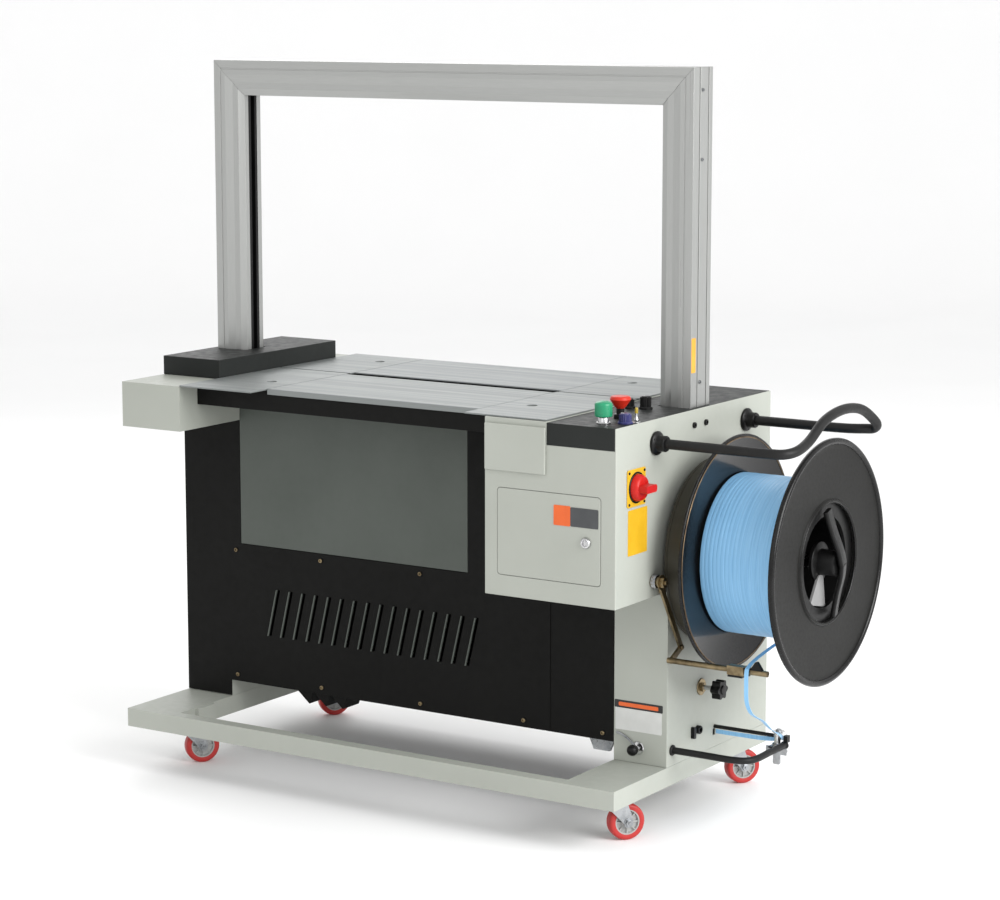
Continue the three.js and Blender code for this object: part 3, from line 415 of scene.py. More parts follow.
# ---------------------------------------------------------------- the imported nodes' own finishes
NODE_FINISHES = {
    "base_frame": (LIGHT_GREY, 2.0), "near_housing": (LIGHT_GREY, 1.2), "far_housing": (LIGHT_GREY, 1.2),
    "cabinet_door": (LIGHT_GREY, 1.2), "infeed_end_block": (LIGHT_GREY, 1.5),
    "control_panel": (CONTROL, 1.2), "main_switch_plate": (YELLOW, 0.6),
    "arch_near_post": (ARCH["z"], 0.5), "arch_far_post": (ARCH["z"], 0.5), "arch_top_beam": (ARCH["y"], 0.5),
    "arch_track": (BLACK_PLASTIC, 0.5), "far_cover": (CONTROL, 1.2),
    "table_near_infeed_plate": (TABLE, 0.6), "table_far_infeed_plate": (TABLE, 0.6),
    "table_near_outfeed_plate": (TABLE, 0.6), "table_far_outfeed_plate": (TABLE, 0.6),
    "table_infeed_plate": (TABLE, 0.6), "table_outfeed_plate": (TABLE_DARK, 0.6),
    "table_frame": (PANEL_BLACK, 1.0), "lower_track": (BLACK_PLASTIC, 0.5),
    # The upper panel's mid grey is painted shade: it stands in for a light-grey panel in the shadow under the
    # table.
    "plain_panel": (PANEL_BLACK, 0.8), "louvred_panel": (PANEL_BLACK, 0.6), "upper_panel": (GREY_PAINTED_SHADE_AND_HIGHLIGHT, 0.8),
    "strap_pool": (PANEL_BLACK, 0.6), "head_frame": (STEEL, 0.8), "drive_motor": (STEEL, 1.5),
    "feed_roller": (STEEL, 0.6), "pinch_roller": (STEEL, 0.6), "sealing_anvil": (STEEL, 0.8),
    "reel_shaft": (CHROME, 0.8), "guide_rod": (SOFT_BLACK, 0.6),
}


def dress(name, finish, softness):
    """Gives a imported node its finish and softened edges."""
    node = frame["nodes"][name]
    node.data.materials.clear()
    node.data.materials.append(finish)
    weld = node.modifiers.new("weld", "WELD")
    weld.merge_threshold = 1e-5
    flat = node.modifiers.new("flat", "DECIMATE")
    flat.decimate_type = "DISSOLVE"
    flat.angle_limit = math.radians(0.5)
    edge = node.modifiers.new("edge", "BEVEL")
    edge.width = softness * MM
    edge.segments = 2
    edge.limit_method = "ANGLE"
    edge.angle_limit = math.radians(35)
    edge.use_clamp_overlap = True


for node_name, (node_finish, node_softness) in NODE_FINISHES.items():
    dress(node_name, node_finish, node_softness)


# ---------------------------------------------------------------- casters
def make_caster(corner):
    swivel, roll = JOINTS[f"swivel_{corner}"], JOINTS[f"roll_{corner}"]
    x, y, z = machine_point(roll["pos_m"])
    swivel_x, swivel_y, _ = machine_point(swivel["pos_m"])
    axle = placed(x, y, z, roll["axis"])
    radius, half, round_off = z, 13, 6
    tread = [(26, 0.6 - half), (29, -half), *arc(radius - round_off, round_off - half, round_off, -90, 0),
             *arc(radius - round_off, half - round_off, round_off, 0, 90), (29, half), (26, half - 0.6)]
    tyre = Piece().turned(tread, axle, 72, ring=True)
    tyre.done(f"tyre_{corner}", TYRE, f"wheel_{corner}", "tyre_red", f"caster_wheel_{corner}")
    hub_side = [(5.6, 12.4), (10, 12.4), (11.5, 11), (13, 7), (22, 7), (23.5, 12), (26.3, 12)]
    far_side = [(r, -h) for r, h in reversed(hub_side)]
    hub = Piece().turned([*far_side, *hub_side][::-1], axle, 48, ring=True)
    for i in range(8):
        rib = axle @ Matrix.Rotation(math.tau * i / 8, 4, "Z")
        hub.prism(rectangle(11, 24, -1.3, 1.3), -10.5, 10.5, rib, 0.4)
    hub.done(f"hub_{corner}", HUB, f"wheel_{corner}", "tyre_red")

    trail = (Vector((swivel_x, swivel_y)) - Vector((x, y))).length
    crown, shoulder = 92.4 - z, 84 - z
    leg = rounded([(-7, -10), (7, -10), (11, 0), (trail + 21, shoulder), (trail + 24, crown),
                   (trail - 24, crown), (trail - 30, shoulder), (-11, 2)], 7)
    fork = Piece()
    for side in (-1, 1):
        fork.prism(leg, min(side * 15, side * 18), max(side * 15, side * 18), axle, 0.7)
        out = Vector(roll["axis"]) * side
        face = Vector((x, y, z)) + out * 18
        fork.nut(*face, out, 6.5, 4.5, 2.0)
    fork.prism(rectangle(trail - 23, trail + 23, shoulder - 3, shoulder + 5, 3), -18, 18, axle, 1.0)
    fork.turned([(0, 81), (20, 81), (23, 82.5), (25, 85), (25, 87), (22.5, 88.3), (25, 89.6), (25, 92.4),
                 (0, 92.4)], placed(swivel_x, swivel_y, 0, UP), 48)
    fork.turned([(0, 76), (7, 76), (7, 82), (0, 82)], placed(swivel_x, swivel_y, 0, UP), 24)
    fork.done(f"fork_{corner}", ZINC, f"fork_{corner}", "chrome_parts", f"caster_fork_{corner}")


for caster_corner in ("near_infeed", "near_outfeed", "far_infeed", "far_outfeed"):
    make_caster(caster_corner)


# ---------------------------------------------------------------- cabinet, door and labels
def make_door_lock():
    _, y, z = middle("door_lock")
    face = extent("cabinet_door")[0].x
    place = placed(face, y, z, LEFT)
    profile = [(0, 1.5), (6.2, 1.5), (6.6, 5), (7.6, 6), (9.5, 5.4), (11, 3), (11.5, 0.3), (0, 0.3)]
    lock = Piece().turned(profile, place, 40)
    lock.prism(rectangle(-1.1, 1.1, -5, 5, 0.6), 1.2, 3.4, place, 0.3)
    lock.done("lock_barrel", CHROME, "lock", "chrome_parts", "door_lock")


def make_label(name, finish, body, x, y, z, out, width, height, slot="sign_yellow"):
    """A blank stuck-on plate, centred on a point of a face."""
    thickness, corner = 0.7, 2.5
    outline = rectangle(-width / 2, width / 2, -height / 2, height / 2, corner)
    label = Piece().prism(outline, 0, thickness, placed(x, y, z, out), 0.25)
    return label.done(name, finish, body, slot)


def make_labels():
    door = extent("cabinet_door")[0].x
    column = extent("plain_panel")[0].x
    make_label("name_plate_light", ORANGE, "door", door, 121, 675, LEFT, 38, 40)
    make_label("name_plate_dark", LABEL_DARK, "door", door, 70, 674.5, LEFT, 63, 38, "dark_sheet")
    make_label("side_label", YELLOW, MACHINE, 84, 0, 643, NEAR, 74, 90)
    make_label("column_label", LABEL_WHITE, MACHINE, column, 66, 226, LEFT, 108, 46, "light_grey_paint")
    make_label("column_label_band", LABEL_BLACK, MACHINE, column, 66, 256.5, LEFT, 112, 16, "dark_sheet")
    make_label("column_label_stripe", ORANGE, MACHINE, column - 0.4, 66, 256.5, LEFT, 92, 8)
    make_label("post_label", AMBER, MACHINE, 327, extent("arch_near_post")[0].y, 961, NEAR, 17, 70)


def make_near_plate_fittings():
    screws = Piece()
    for x in (307, 355):
        screws.screw(x, 0, 824, NEAR, 6, 4.5)
    screws.done("post_screws", BLACK_PLASTIC, MACHINE, "black_plastic")
    post = extent("arch_near_post")[0].y
    joint_screws = Piece()
    for z in (1352, 1490, 905):
        joint_screws.screw(354, post, z, NEAR, 3.6, 2.6)
    joint_screws.done("arch_screws", STEEL, MACHINE, "machine_steel")
    eyelet = Piece()
    eyelet.prism(rectangle(-4.5, 4.5, -13, 11, 2), 0, 8, placed(313, 0, 189, NEAR), 0.8)
    eyelet.turned([(5, 0), (8.5, 0), (9, 1), (9, 7), (7.6, 9), (5, 9)],
                  placed(335, 0, 190, NEAR), 32, ring=True)
    eyelet.prism(rectangle(-14, 10, -2.5, 2.5, 1), 1, 5, placed(326, 0, 190, NEAR), 0.5)
    eyelet.done("strap_eyelet", BLACK_PLASTIC, MACHINE, "black_plastic")


make_door_lock()
make_labels()
make_near_plate_fittings()


# ---------------------------------------------------------------- controls
def fluted(piece, place, low, high, radius, flutes=18, depth=0.9):
    """A knurled grip: an outline with shallow flutes, raised along `out`."""
    outline = []
    steps = flutes * 4
    for k in range(steps):
        angle = math.tau * k / steps
        reach = radius - depth * (0.5 + 0.5 * math.cos(flutes * angle))
        outline.append((reach * math.cos(angle), reach * math.sin(angle)))
    return piece.prism(outline, low, high, place, 0.5)


def make_button(node, body, finish, slot, barrel, cap):
    low, high = extent(node)
    x, y, _ = middle(node)
    place = placed(x, y, low.z, UP)
    tall = high.z - low.z
    collar = Piece()
    collar.turned([(0, 0), (barrel, 0), (barrel, 12), (barrel - 1, 13.5), (0, 13.5)], place, 48)
    collar.done(f"{node}_barrel", CHROME, body, "chrome_parts")
    inside, outside = barrel + 0.6, barrel + 3.4
    bezel = Piece().turned([(inside, 0.1), (outside, 0.1), (outside, 2), (outside - 1, 3.2), (inside, 3.2)],
                           place, 48, ring=True)
    bezel.done(f"{node}_bezel", CHROME, MACHINE, "chrome_parts")
    head = Piece()
    head.turned([(0, 13), (barrel * 0.8, 13), *arc(cap - 2, 15.5, 2, -90, 0, 4), (cap, tall - 9),
                 *arc(cap - 5, tall - 8, 5, 10, 75, 5), (cap * 0.45, tall - 0.8), (0, tall)], place, 64)
    head.done(f"{node}_head", finish, body, slot, node)


def make_mushroom():
    low, high = extent("stop_button")
    x, y, _ = middle("stop_button")
    place = placed(x, y, low.z, UP)
    tall = high.z - low.z
    neck = Piece().turned([(0, 0), (13, 0), (13, 7), (11.5, 8.5), (8, 9), (8, 21), (0, 21)], place, 48)
    neck.done("stop_button_neck", BLACK_PLASTIC, "stop", "black_plastic")
    head = Piece().turned([(0, 19), (8, 19.5), (11, 22.5), (15.5, 29), *arc(19, tall - 6.5, 2, -50, 40, 5),
                           *arc(16, tall - 4, 4, 20, 80, 5), (8, tall - 0.3), (0, tall)], place, 64)
    head.done("stop_button_head", STOP_RED, "stop", "signal_red", "stop_button")


def make_knob(node, body, finish, slot):
    low, high = extent(node)
    x, y, _ = middle(node)
    radius = (high.x - low.x) / 2
    tall = high.z - low.z
    place = placed(x, y, low.z, UP)
    knob = Piece().turned([(0, 0), (radius, 0), (radius, 2.5), (radius - 1.5, 4.5), (0, 4.5)], place, 48)
    fluted(knob, place, 4, tall - 2, radius - 2.5)
    knob.turned([(0, tall - 3), (radius - 4.5, tall - 3), (radius - 5, tall - 0.8), (radius - 6.5, tall),
                 (0, tall)], place, 40)
    knob.done(f"{node}_grip", finish, body, slot, node)
    mark = rectangle(-0.9, 0.9, 2, radius - 5.4, 0.5)
    pointer = Piece().prism(mark, tall - 0.2, tall + 0.5, place, 0.15)
    pointer.done(f"{node}_pointer", LABEL_WHITE, body, slot)


def make_toggle():
    low, high = extent("mode_toggle")
    x, y, _ = middle("mode_toggle")
    panel = extent("control_panel")[1].z
    base = Piece().turned([(6.2, 0), (9, 0), (9, 1.2), (7, 2.2), (6.2, 2.2)],
                          placed(x, y, panel, UP), 40, ring=True)
    base.done("mode_toggle_bush", CHROME, MACHINE, "chrome_parts")
    place = placed(x, y, low.z, UP)
    tall = high.z - low.z
    stalk = [(0, 0), (3.5, 0.6), (4.5, 3), (3, 6), (2.4, 9), (2.8, tall - 8), (0, tall - 8)]
    lever = Piece().turned(stalk, place, 32)
    lever.done("mode_toggle_lever", CHROME, "toggle", "chrome_parts", "mode_toggle")
    tip = Piece().turned([(0, tall - 12), (2.7, tall - 12), (3.3, tall - 10), (3.3, tall - 3.4),
                          *arc(0, tall - 3.3, 3.3, 0, 90, 6)], place, 32)
    tip.done("mode_toggle_tip", TOGGLE_TIP, "toggle", "chrome_parts")


def make_main_switch():
    x, _, z = middle("main_switch_plate")
    face = extent("main_switch_plate")[0].y
    frame_place = placed(x, face, z, NEAR)
    border = Piece()
    for sx, sz in ((-1, -1), (-1, 1), (1, -1), (1, 1)):
        border.screw(x + sx * 29, face, z + sz * 31, NEAR, 2.6, 1.8)
    border.turned([(28, 0), (31, 0), (31, 1.4), (30, 2.2), (28, 2.2)], frame_place, 64, ring=True)
    border.done("main_switch_trim", BLACK_PLASTIC, MACHINE, "black_plastic")
    low, high = extent("main_switch_handle")
    place = placed(x, high.y, z, NEAR)
    front = high.y - low.y
    grip = Piece().turned([(0, 0), (26, 0), (27, 1.5), (26, 9), (23, 14), (19, 16.2), (0, 16.2)], place, 72)
    grip.prism(rounded([(-20, -7.5), (20, -7.5), (20, 7.5), (-20, 7.5)], 6), 13, front, place, 2.5, 3)
    grip.done("main_switch_grip", RED, "switch_handle", "signal_red", "main_switch_handle")


make_button("start_button", "start", GREEN, "start_green", 11, 17.5)
make_mushroom()
make_knob("tension_knob", "tension", NAVY, "knob_blue")
make_knob("speed_knob", "speed", BLACK_PLASTIC, "black_plastic")
make_knob("feed_knob", "feed", BLACK_PLASTIC, "black_plastic")
make_toggle()
make_main_switch()


# ---------------------------------------------------------------- reel
REEL = machine_point(JOINTS["reel_spin"]["pos_m"])
FLANGE_RADIUS = (extent("reel_outer_flange")[1].x - extent("reel_outer_flange")[0].x) / 2
INNER_RADIUS = (extent("reel_inner_flange")[1].x - extent("reel_inner_flange")[0].x) / 2
COIL_RADIUS = (extent("strap_coil")[1].x - extent("strap_coil")[0].x) / 2
OUTER_FACE = extent("reel_outer_flange")[0].y + 7
INNER_FACE = extent("strap_coil")[1].y + 2
DRUM_BACK = extent("reel_inner_flange")[1].y
ROLL = 6.8
OPENING = 120
CORE = 97
BRAKE_DRUM = 188


def reel_place(y):
    return placed(REEL.x, y, REEL.z, NEAR, UP)


def make_outer_flange():
    opening = [(OPENING, -4), *arc(OPENING + 3, 1.5, 3.2, 200, 20, 8), (OPENING + 9, 0)]
    disc = Piece()
    rim = FLANGE_RADIUS - ROLL
    disc.turned([*opening, (rim - ROLL - 10, 0), (rim - ROLL - 2, 1), (rim - 4, 2), (rim - 4, -2),
                 (rim - ROLL - 2, -3.5), (rim - ROLL - 10, -4)], reel_place(OUTER_FACE), 144, ring=True)
    disc.done("outer_flange_disc", FLANGE, "reel", "charcoal_flange", "reel_outer_flange")
    rolled = Piece().turned(arc(rim, 0, ROLL, 0, 345, 23), reel_place(OUTER_FACE), 144, ring=True)
    rolled.turned(arc(OPENING + 3, 1, 3.6, 0, 340, 17), reel_place(OUTER_FACE), 96, ring=True)
    rolled.done("outer_flange_rim", RIM_BLACK, "reel", "charcoal_flange")


def make_inner_flange():
    """A glossy disc with a thin rolled edge, and the brake drum behind it in dark olive, painted shade for the
    dark crescent beside the flange's edge.
    """
    place = reel_place(INNER_FACE)
    edge = INNER_RADIUS - 3.4
    disc = Piece().turned([(16, -4), (edge - 6, -4), (edge - 3, -5), (edge, -4), (edge, 1), (edge - 4, 1.6),
                           (edge - 7, 0), (16, 0)], place, 144, ring=True)
    disc.done("inner_flange_disc", FLANGE_BLACK, "reel", "charcoal_flange", "reel_inner_flange")
    rolled = Piece().turned(arc(edge, -1.5, 3.3, 0, 345, 15), place, 144, ring=True)
    rolled.done("inner_flange_rim", RIM_BLACK, "reel", "charcoal_flange")
    bead = Piece().turned(arc(edge - 3.4, 1.8, 1.3, 0, 330, 9), place, 144, ring=True)
    bead.done("inner_flange_bead", BRASS, "reel", "zinc_parts")
    depth = INNER_FACE - DRUM_BACK
    inside, outside = BRAKE_DRUM - 6, BRAKE_DRUM
    band = outside - 1.2
    drum = Piece().turned([(inside, -4), (inside, depth + 0.4), (outside - 1, depth + 0.4), (outside, depth + 1.4),
                           (outside, depth + 6), (band, depth + 7), (band, -9), (outside, -8), (outside, -4)],
                          place, 144, ring=True)
    drum.done("brake_drum", BRAKE_DRUM_PAINTED_SHADE, "reel", "charcoal_flange")


def make_drum():
    """The black core inside the coil, closed off deep inside the opening."""
    length = INNER_FACE - OUTER_FACE - 11
    drum = Piece().turned([(CORE - 6, -0.5), (CORE - 1, -0.5), (CORE - 1, length), (CORE - 6, length)],
                          reel_place(INNER_FACE), 96, ring=True)
    drum.turned([(CORE - 5, 0), (OPENING + 5, 0), (OPENING + 6, 1.5), (OPENING + 5, 4), (CORE - 4, 4)],
                reel_place(OUTER_FACE + 10.5), 96, ring=True)
    drum.turned([(16, 0), (CORE - 5, 0), (CORE - 5, 5), (16, 5)],
                reel_place(INNER_FACE - 60), 96, ring=True)
    drum.done("reel_drum", BLACK_PLASTIC, "reel", "black_plastic")


def make_coil():
    """Strap wound in bands laid side by side, each a little proud of or below its neighbours."""
    wander = random.Random(7)
    low, high = extent("strap_coil")
    width = high.y - low.y - 1
    bands = 21
    pitch = width / bands
    profile = [(CORE, 0)]
    for i in range(bands):
        start = i * pitch
        top = COIL_RADIUS - 0.5 + wander.uniform(-0.22, 0.22)
        profile += [(top - 0.25, start + 0.15), (top, start + 0.8), (top + 0.05, start + pitch / 2),
                    (top, start + pitch - 0.8), (top - 0.25, start + pitch - 0.15)]
    profile.append((CORE, width))
    coil = Piece().turned(profile, reel_place(high.y - 0.5), 128, ring=True)
    coil.done("strap_winding", STRAP, "reel", "strap_blue", "strap_coil")


def make_lock_handle():
    low, high = extent("reel_lock_handle")
    place = reel_place(high.y)
    front = high.y - low.y
    tilt = Matrix.Rotation(math.radians(10), 4, "Z")
    handle = Piece()
    handle.turned([(15.6, 0), (38, 0), (40, 2), (40, 8), (37, 10), (27, 11), (26, 14), (26, front + 8),
                   (24, front + 12), (15, front + 14), (0, front + 14), (0, 14), (15.6, 14)], place, 64)
    bow = [(-110, front - 5), (-98, front - 3), (-62, front + 6), (-26, front + 17), (0, front + 21),
           (26, front + 17), (62, front + 6), (98, front - 3), (110, front - 5)]
    turned = place @ tilt
    for first, wide in ((0, 12), (4, 17)):
        span = [turned @ Vector((0, along, out)) for along, out in bow[first:first + 5]]
        route = smooth_route([machine_point(point) for point in span], 4)
        section = rounded([(-5, -wide), (5, -wide), (5, wide), (-5, wide)], 4)
        handle.swept(route, section, tilt.to_3x3() @ Vector((1, 0, 0)))
    # Painted light: a light-grey wedge in the lower part of the hub stands in for the lit lower inner wall; the
    # upper inside of the hub stays black.
    lit_wedge = Piece().prism(rounded([(-9, -26), (9, -26), (34, -88), (-34, -88)], 5), 8, 13,
                        place @ Matrix.Rotation(math.radians(-12), 4, "Z"), 1.2)
    lit_wedge.done("reel_painted_light_wedge", PAINTED_LIT_WEDGE_GREY, "reel_lock", "charcoal_flange")
    handle.done("reel_handle", BLACK_PLASTIC, "reel_lock", "black_plastic", "reel_lock_handle")


make_outer_flange()
make_inner_flange()
make_drum()
make_coil()
make_lock_handle()


# ---------------------------------------------------------------- brake lever
def make_brake():
    pivot = machine_point(JOINTS["brake_swing"]["pos_m"])
    elbow, bar = (235, 384), (196, 364)
    bar_end = extent("brake_lever")[0].y
    lever = Piece()
    bearing = placed(pivot.x, 0, pivot.z, NEAR)
    lever.turned([(0, 0.4), (12, 0.4), (12, 3), (10, 4), (10, 20), (0, 20)], bearing, 40)
    lever.nut(pivot.x, -20, pivot.z, NEAR, 10, 8, 5)
    lever.turned([(8, 4), (13.5, 4), (14, 6), (13.5, 8), (8, 8)], bearing, 40, ring=True)
    lever.block(pivot.x + 8, pivot.x + 22, -17, -10, pivot.z - 24, pivot.z - 8, 1.5)
    for (ax, az), (bx, bz) in (((pivot.x, pivot.z), elbow), (elbow, bar)):
        length = math.hypot(bx - ax, bz - az)
        turn = Matrix.Rotation(math.atan2(bz - az, bx - ax), 4, "Y").inverted()
        place = Matrix.Translation(at(ax, -15.5, az)) @ turn @ Matrix.Scale(MM, 4)
        link = rounded([(-6, -6), (length + 6, -6), (length + 6, 6), (-6, 6)], 6)
        lever.prism(link, -2.5, 2.5, place @ Matrix.Rotation(math.pi / 2, 4, "X"), 0.7)
    lever.screw(elbow[0], -18, elbow[1], NEAR, 5, 3)
    lever.swept([(bar[0], y, bar[1]) for y in (-8, -60, -120, bar_end)], polygon(6, 24))
    lever.block(bar[0] - 9, bar[0] + 9, -182, -146, bar[1] - 9, bar[1] + 9, 2)
    lever.done("brake_linkage", PASSIVATED, "brake", "zinc_parts", "brake_lever")
    guide = Piece()
    outline = rounded([(-20, -4), (20, -4), (2, 22), (-2, 22)], 3)
    guide.prism(outline, -4, 4, placed(bar[0], -208, bar[1], LEFT), 1.2)
    guide.turned([(6.2, -2), (9, -2), (9, 2), (6.2, 2)], placed(bar[0], -190, bar[1], NEAR), 32, ring=True)
    guide.block(bar[0] - 10, bar[0] + 10, -180, -148, bar[1] - 13, bar[1] - 9.2, 0.8)
    guide.done("brake_strap_guide", BLACK_PLASTIC, "brake", "black_plastic")
    radius, pitch, per_turn = 13.5, 0.16, 12
    spring = []
    for step in range(5 * per_turn):
        angle = math.tau * step / per_turn
        spring.append((pivot.x + radius * math.cos(angle), -3 - step * pitch, pivot.z + radius * math.sin(angle)))
    coil = Piece().swept(spring, polygon(1.0, 8), AWAY)
    coil.done("brake_spring", ZINC, MACHINE, "chrome_parts")


make_brake()


# ---------------------------------------------------------------- reel guard
GUARD_X = [middle("guard_socket_infeed").x, middle("guard_socket_outfeed").x]
GUARD_Z = middle("guard_socket_infeed").z


def make_guard():
    x0, x1 = GUARD_X
    z, reach, rise = GUARD_Z, -290, 60
    route = smooth_route([
        (x0, -1, z), (x0, -90, z), (x0, -180, z), (x0, reach + 44, z), (x0 + 6, reach + 14, z),
        (x0 + 30, reach, z + 3), (x0 + 86, reach, z + 15), (x0 + 146, reach, z + 45),
        (x0 + 197, reach, z + rise - 3), (x0 + 257, reach, z + rise), (x1 - 58, reach, z + rise - 9),
        (x1 - 14, reach, z + 32), (x1 + 17, reach, z + 10), (x1 + 25, reach + 11, z + 1),
        (x1 + 17, reach + 28, z), (x1 + 5, reach + 52, z), (x1, reach + 90, z), (x1, -90, z), (x1, -1, z)], 6)
    guard = Piece().swept(route, polygon(10, 28))
    guard.done("guard_tube", SOFT_BLACK, MACHINE, "black_plastic", "reel_guard")
    for end, x in zip(("infeed", "outfeed"), GUARD_X):
        profile = [(10.2, 0.3), (22, 0.3), *arc(22, 2.3, 2, -90, 0, 4), (24, 5), (22.5, 7), (17, 9),
                   (16, 12), (16, 24), (14.5, 26), (10.2, 26)]
        socket = Piece().turned(profile, placed(x, 0, z, NEAR), 56, ring=True)
        for i in range(3):
            angle = math.tau * (i + 0.25) / 3
            socket.screw(x + 19.5 * math.cos(angle), -6, z + 19.5 * math.sin(angle), NEAR, 2.4, 2.6)
        socket.done(f"guard_mount_{end}", BLACK_PLASTIC, MACHINE, "black_plastic", f"guard_socket_{end}")


make_guard()


# ---------------------------------------------------------------- strap guide under the reel
def star_knob(piece, place, radius, low, high, lobes=6):
    """A lobed hand knob."""
    outline = []
    steps = lobes * 10
    for k in range(steps):
        angle = math.tau * k / steps
        reach = radius * (0.87 + 0.13 * math.cos(lobes * angle))
        outline.append((reach * math.cos(angle), reach * math.sin(angle)))
    piece.prism(outline, low, high, place, 2.0, 3)
    boss = [(0, high - 1), (radius * 0.5, high - 1), (radius * 0.42, high + 2.5), (0, high + 3)]
    return piece.turned(boss, place, 32)


def make_strap_guide():
    """A bent bar that carries a vertical flanged roller and a short rod the strap runs under."""
    y, z = -174, 170
    arm_route = smooth_route([(230, -1, z), (230, -70, z), (230, y + 30, z), (239, y + 9, z), (260, y, z),
                              (324, y, z), (384, y, z)], 8)
    arm = Piece().swept(arm_route, polygon(7, 24))
    arm.turned([(7.2, 0.3), (11, 0.3), (11, 3), (9, 5), (7.2, 5)], placed(230, 0, z, NEAR), 32, ring=True)
    arm.done("guide_arm_bar", SOFT_BLACK, MACHINE, "black_plastic", "guide_arm")
    roller_x, roller_y, _ = machine_point(JOINTS["guide_roller_spin"]["pos_m"])
    low, high = extent("guide_roller")
    tall = high.z - low.z
    side = [(3.4, 0), (12, 0), (13, 0.8), (13, 2.2), (12, 3), (9.3, 3.6), (9, 4.5)]
    mirrored = [(radius, tall - height) for radius, height in reversed(side)]
    roller = Piece().turned([*side, *mirrored], placed(roller_x, roller_y, low.z, UP), 56, ring=True)
    roller.done("strap_roller", CHROME, "roller", "machine_steel", "guide_roller")
    bracket = Piece()
    bracket.block(382, 386, -180, -134, 150, 165, 0.8)
    bracket.prism(rounded([(-8, -38), (8, -38), (8, 0), (-8, 0)], 4), 0, 3.6,
                  placed(382.2, -158, z - 3, RIGHT), 0.8)
    bracket.block(382, 414, -169, -139, 161, 164.6, 0.8)
    bracket.turned([(0, 163), (3, 163), (3, 197), (2, 199), (0, 199)], placed(roller_x, roller_y, 0, UP), 24)
    bracket.nut(roller_x, roller_y, high.z + 0.2, UP, 4.2, 2.6, 0.6)
    bracket.nut(386, y, z - 12, RIGHT, 4.5, 3.5, 2)
    bracket.done("roller_bracket", ZINC, MACHINE, "chrome_parts")
    cap = Piece().turned([(0, 0), (7.5, 0), (8.5, 1), (8.5, 5), (7, 6.4), (0, 6.8)],
                         placed(384, y, z, RIGHT), 32)
    cap.block(385, 397, -181, -172, 176, 190, 2)
    cap.done("roller_bracket_cap", BLACK_PLASTIC, MACHINE, "black_plastic")


def make_hand_knobs():
    x, _, z = middle("guide_knob")
    washer = Piece().turned([(0, 0.3), (17, 0.3), (17.5, 1.5), (17, 3), (0, 3)], placed(x, 0, z, NEAR), 48)
    washer.prism(polygon(9.5, 6), 2.5, 9, placed(x, 0, z, NEAR), 0.6)
    washer.done("guide_knob_washer", PASSIVATED, "guide_clamp", "zinc_parts")
    shank = Piece().turned([(0, 8), (5, 8), (5, 34), (0, 34)], placed(x, 0, z, NEAR), 28)
    shank.done("guide_knob_shank", CHROME, "guide_clamp", "chrome_parts")
    grip = star_knob(Piece(), placed(x, 0, z, NEAR), 21, 33, 52)
    grip.turned([(0, 27), (8, 27), (10, 34), (0, 34)], placed(x, 0, z, NEAR), 32)
    grip.done("guide_knob_grip", BLACK_PLASTIC, "guide_clamp", "black_plastic", "guide_knob")
    _, y, z = middle("column_knob")
    face = extent("plain_panel")[0].x
    ball = Piece().turned([(0, 12), (5, 12), (9, 15), *arc(0, 24, 11.5, -40, 90, 10)],
                          placed(face, y, z, LEFT), 48)
    ball.done("column_knob_grip", BLACK_PLASTIC, "column_clamp", "black_plastic", "column_knob")
    collar = Piece().turned([(0, 0.3), (13, 0.3), (13.5, 1.5), (12, 3), (5, 3.6), (4.2, 14), (0, 14)],
                            placed(face, y, z, LEFT), 48)
    collar.done("column_knob_collar", CHROME, "column_clamp", "chrome_parts")
    pawl = smooth_route([(face - 4, y + 8, z + 6), (face - 4, y + 22, z + 17), (face - 4, y + 38, z + 25),
                         (face - 3.4, y + 50, z + 27)], 6)
    catch = Piece().swept(pawl, rectangle(-1.4, 1.4, -2.2, 2.2, 0.7), UP)
    catch.done("column_catch", ZINC, MACHINE, "chrome_parts")


def make_strap_lead():
    """The flat strap from the coil over the brake bar, twisted past the roller and into the housing."""
    half, thick = 4.5, 0.3
    per_span, twist_from, twist_over = 6, 11.0, 3.6
    route = smooth_route([
        (361, -190, 399), (320, -190, 398), (262, -190, 390), (208, -190, 379), (195, -190, 373.4),
        (189.2, -190, 370.8), (186.6, -190, 364), (186, -190, 340), (189, -190, 304), (206, -190, 279),
        (232, -188, 264), (266, -185, 249), (320, -177, 218), (368, -172, 195), (391, -166.8, 184),
        (402, -165.8, 181), (408.8, -160, 178), (409.8, -148, 175), (408, -120, 172), (408, -60, 171),
        (408, -4, 171)], per_span)
    count = len(route)
    shell = bmesh.new()
    rows = []
    for i, point in enumerate(route):
        along = (route[min(i + 1, count - 1)] - route[max(i - 1, 0)]).normalized()
        reached = min(1.0, max(0.0, (i / per_span - twist_from) / twist_over))
        upright = reached * reached * (3 - 2 * reached)
        across = Vector((0, 1 - upright, upright))
        across = (across - along * across.dot(along)).normalized()
        normal = along.cross(across)
        corners = ((-half, -thick), (half, -thick), (half, thick), (-half, thick))
        rows.append([shell.verts.new(point + across * a + normal * b) for a, b in corners])
    shell.faces.new(rows[0][::-1])
    shell.faces.new(rows[-1])
    for lower, upper in zip(rows, rows[1:]):
        for k in range(4):
            n = (k + 1) % 4
            shell.faces.new((lower[k], lower[n], upper[n], upper[k]))
    strap = Piece().take(shell, Matrix.Translation(at(0, 0, 0)) @ Matrix.Scale(MM, 4))
    strap.done("strap_run", STRAP, MACHINE, "strap_blue", "strap_lead")


make_strap_guide()
make_hand_knobs()
make_strap_lead()


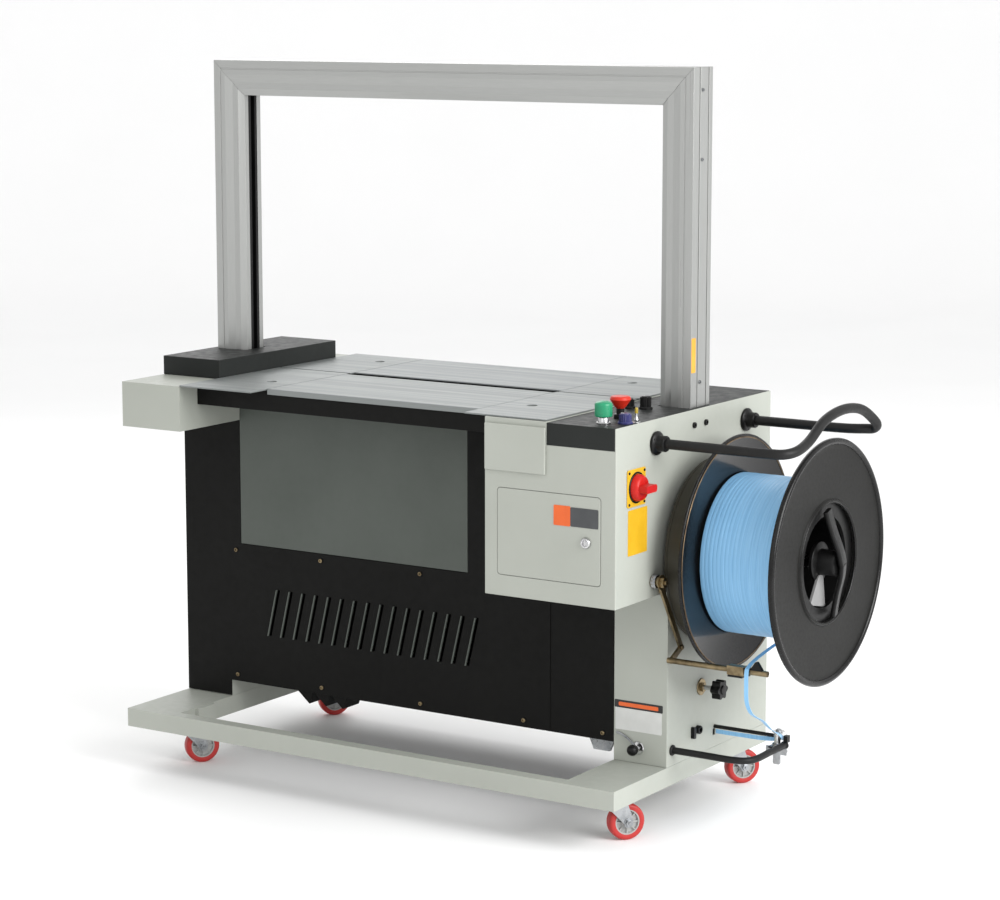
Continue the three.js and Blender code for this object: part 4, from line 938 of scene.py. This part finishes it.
# ---------------------------------------------------------------- lower panels
def make_panel_details():
    face = extent("plain_panel")[0].x
    strip = Piece().block(face - 1.4, face - 0.1, 276, 300, 178, 496, 0.4)
    strip.done("panel_seam_strip", PANEL_BLACK, MACHINE, "black_panel")
    screws = Piece()
    for y in (150, 341, 600, 860, 1090):
        for z in (189, 470):
            screws.screw(face, y, z, LEFT, 4.5, 3)
    screws.done("panel_screws", PASSIVATED, MACHINE, "zinc_parts")
    # The lips are mid grey on the black panel as painted highlights along the louvre slots.
    lips = Piece()
    first, pitch, lean, width = 452, 34.6, 25, 6
    low, high = 287, 392
    for i in range(16):
        y = first + i * pitch
        outline = [(-(y + width + 0.2), high), (-(y + lean + width + 0.2), low),
                   (-(y + lean + width + 3), low), (-(y + width + 3), high)]
        lips.prism(outline, 0.2, 3.4, placed(face, 0, 0, LEFT), 0.9)
    lips.done("louvre_lips", GREY_PAINTED_SHADE_AND_HIGHLIGHT, MACHINE, "grey_panel")
    outline = [(-195, 171), (-135, 171), (-146, 146), (-184, 146)]
    bracket = Piece().prism(outline, 0, 8, placed(238, 0, 0, LEFT), 1.5)
    bracket.done("pool_bracket", ZINC, MACHINE, "chrome_parts")


make_panel_details()


# ---------------------------------------------------------------- studio
def make_floor():
    mesh = bpy.data.meshes.new("floor")
    shell = bmesh.new()
    depth, curve, wall = 9.0, 2.0, 7.0
    cove = [(depth + curve * math.sin(math.radians(angle)), curve * (1 - math.cos(math.radians(angle))))
            for angle in range(0, 91, 9)]
    line = [(-depth, 0), *cove, (depth + curve, wall)]
    rows = [[shell.verts.new((side * 14, y, z)) for side in (-1, 1)] for y, z in line]
    for lower, upper in zip(rows, rows[1:]):
        shell.faces.new((lower[0], lower[1], upper[1], upper[0]))
    shell.to_mesh(mesh)
    shell.free()
    mesh.shade_smooth()
    floor = Finish("floor", 0.7)
    floor.colour(floor.noise(1.5), (244, 244, 244), (245, 245, 245))
    mesh.materials.append(floor.material)
    ground = bpy.data.objects.new("floor", mesh)
    ground.rotation_euler.z = math.radians(-VIEW_AZIMUTH)
    bpy.context.scene.collection.objects.link(ground)


def add_area(name, position, target, width, height, power):
    lamp = bpy.data.lights.new(name, "AREA")
    lamp.shape = "RECTANGLE"
    lamp.size, lamp.size_y = width, height
    lamp.energy = power
    lamp_object = bpy.data.objects.new(name, lamp)
    lamp_object.location = position
    lamp_object.rotation_euler = (Vector(target) - Vector(position)).to_track_quat("-Z", "Y").to_euler()
    bpy.context.scene.collection.objects.link(lamp_object)


VIEW_AZIMUTH = 57.19             # degrees from +Y towards +X
VIEW_PITCH = 9.08                # degrees below the horizon
CAMERA_MM = (-4645, -2730, 1675)
LENS = 102.4

camera = bpy.data.cameras.new("camera")
camera.sensor_width = 36
camera.lens = LENS
camera_object = bpy.data.objects.new("camera", camera)
camera_object.location = at(*CAMERA_MM)
camera_object.rotation_euler = (math.radians(90 - VIEW_PITCH), 0, math.radians(-VIEW_AZIMUTH))
bpy.context.scene.collection.objects.link(camera_object)
bpy.context.scene.camera = camera_object

make_floor()
world = bpy.data.worlds.new("studio")
world.use_nodes = True
world.node_tree.nodes["Background"].inputs["Color"].default_value = (1, 1, 1, 1)
world.node_tree.nodes["Background"].inputs["Strength"].default_value = 1.0
bpy.context.scene.world = world
bpy.context.scene.view_settings.view_transform = "Standard"
TARGET = (0, 0, 0.7)
add_area("key", (-0.6, -4.6, 2.6), TARGET, 3.0, 3.0, 260)
add_area("fill", (-4.6, -0.6, 2.4), TARGET, 3.0, 3.0, 20)
add_area("rim", (3.0, 3.0, 3.2), TARGET, 3.0, 2.0, 40)
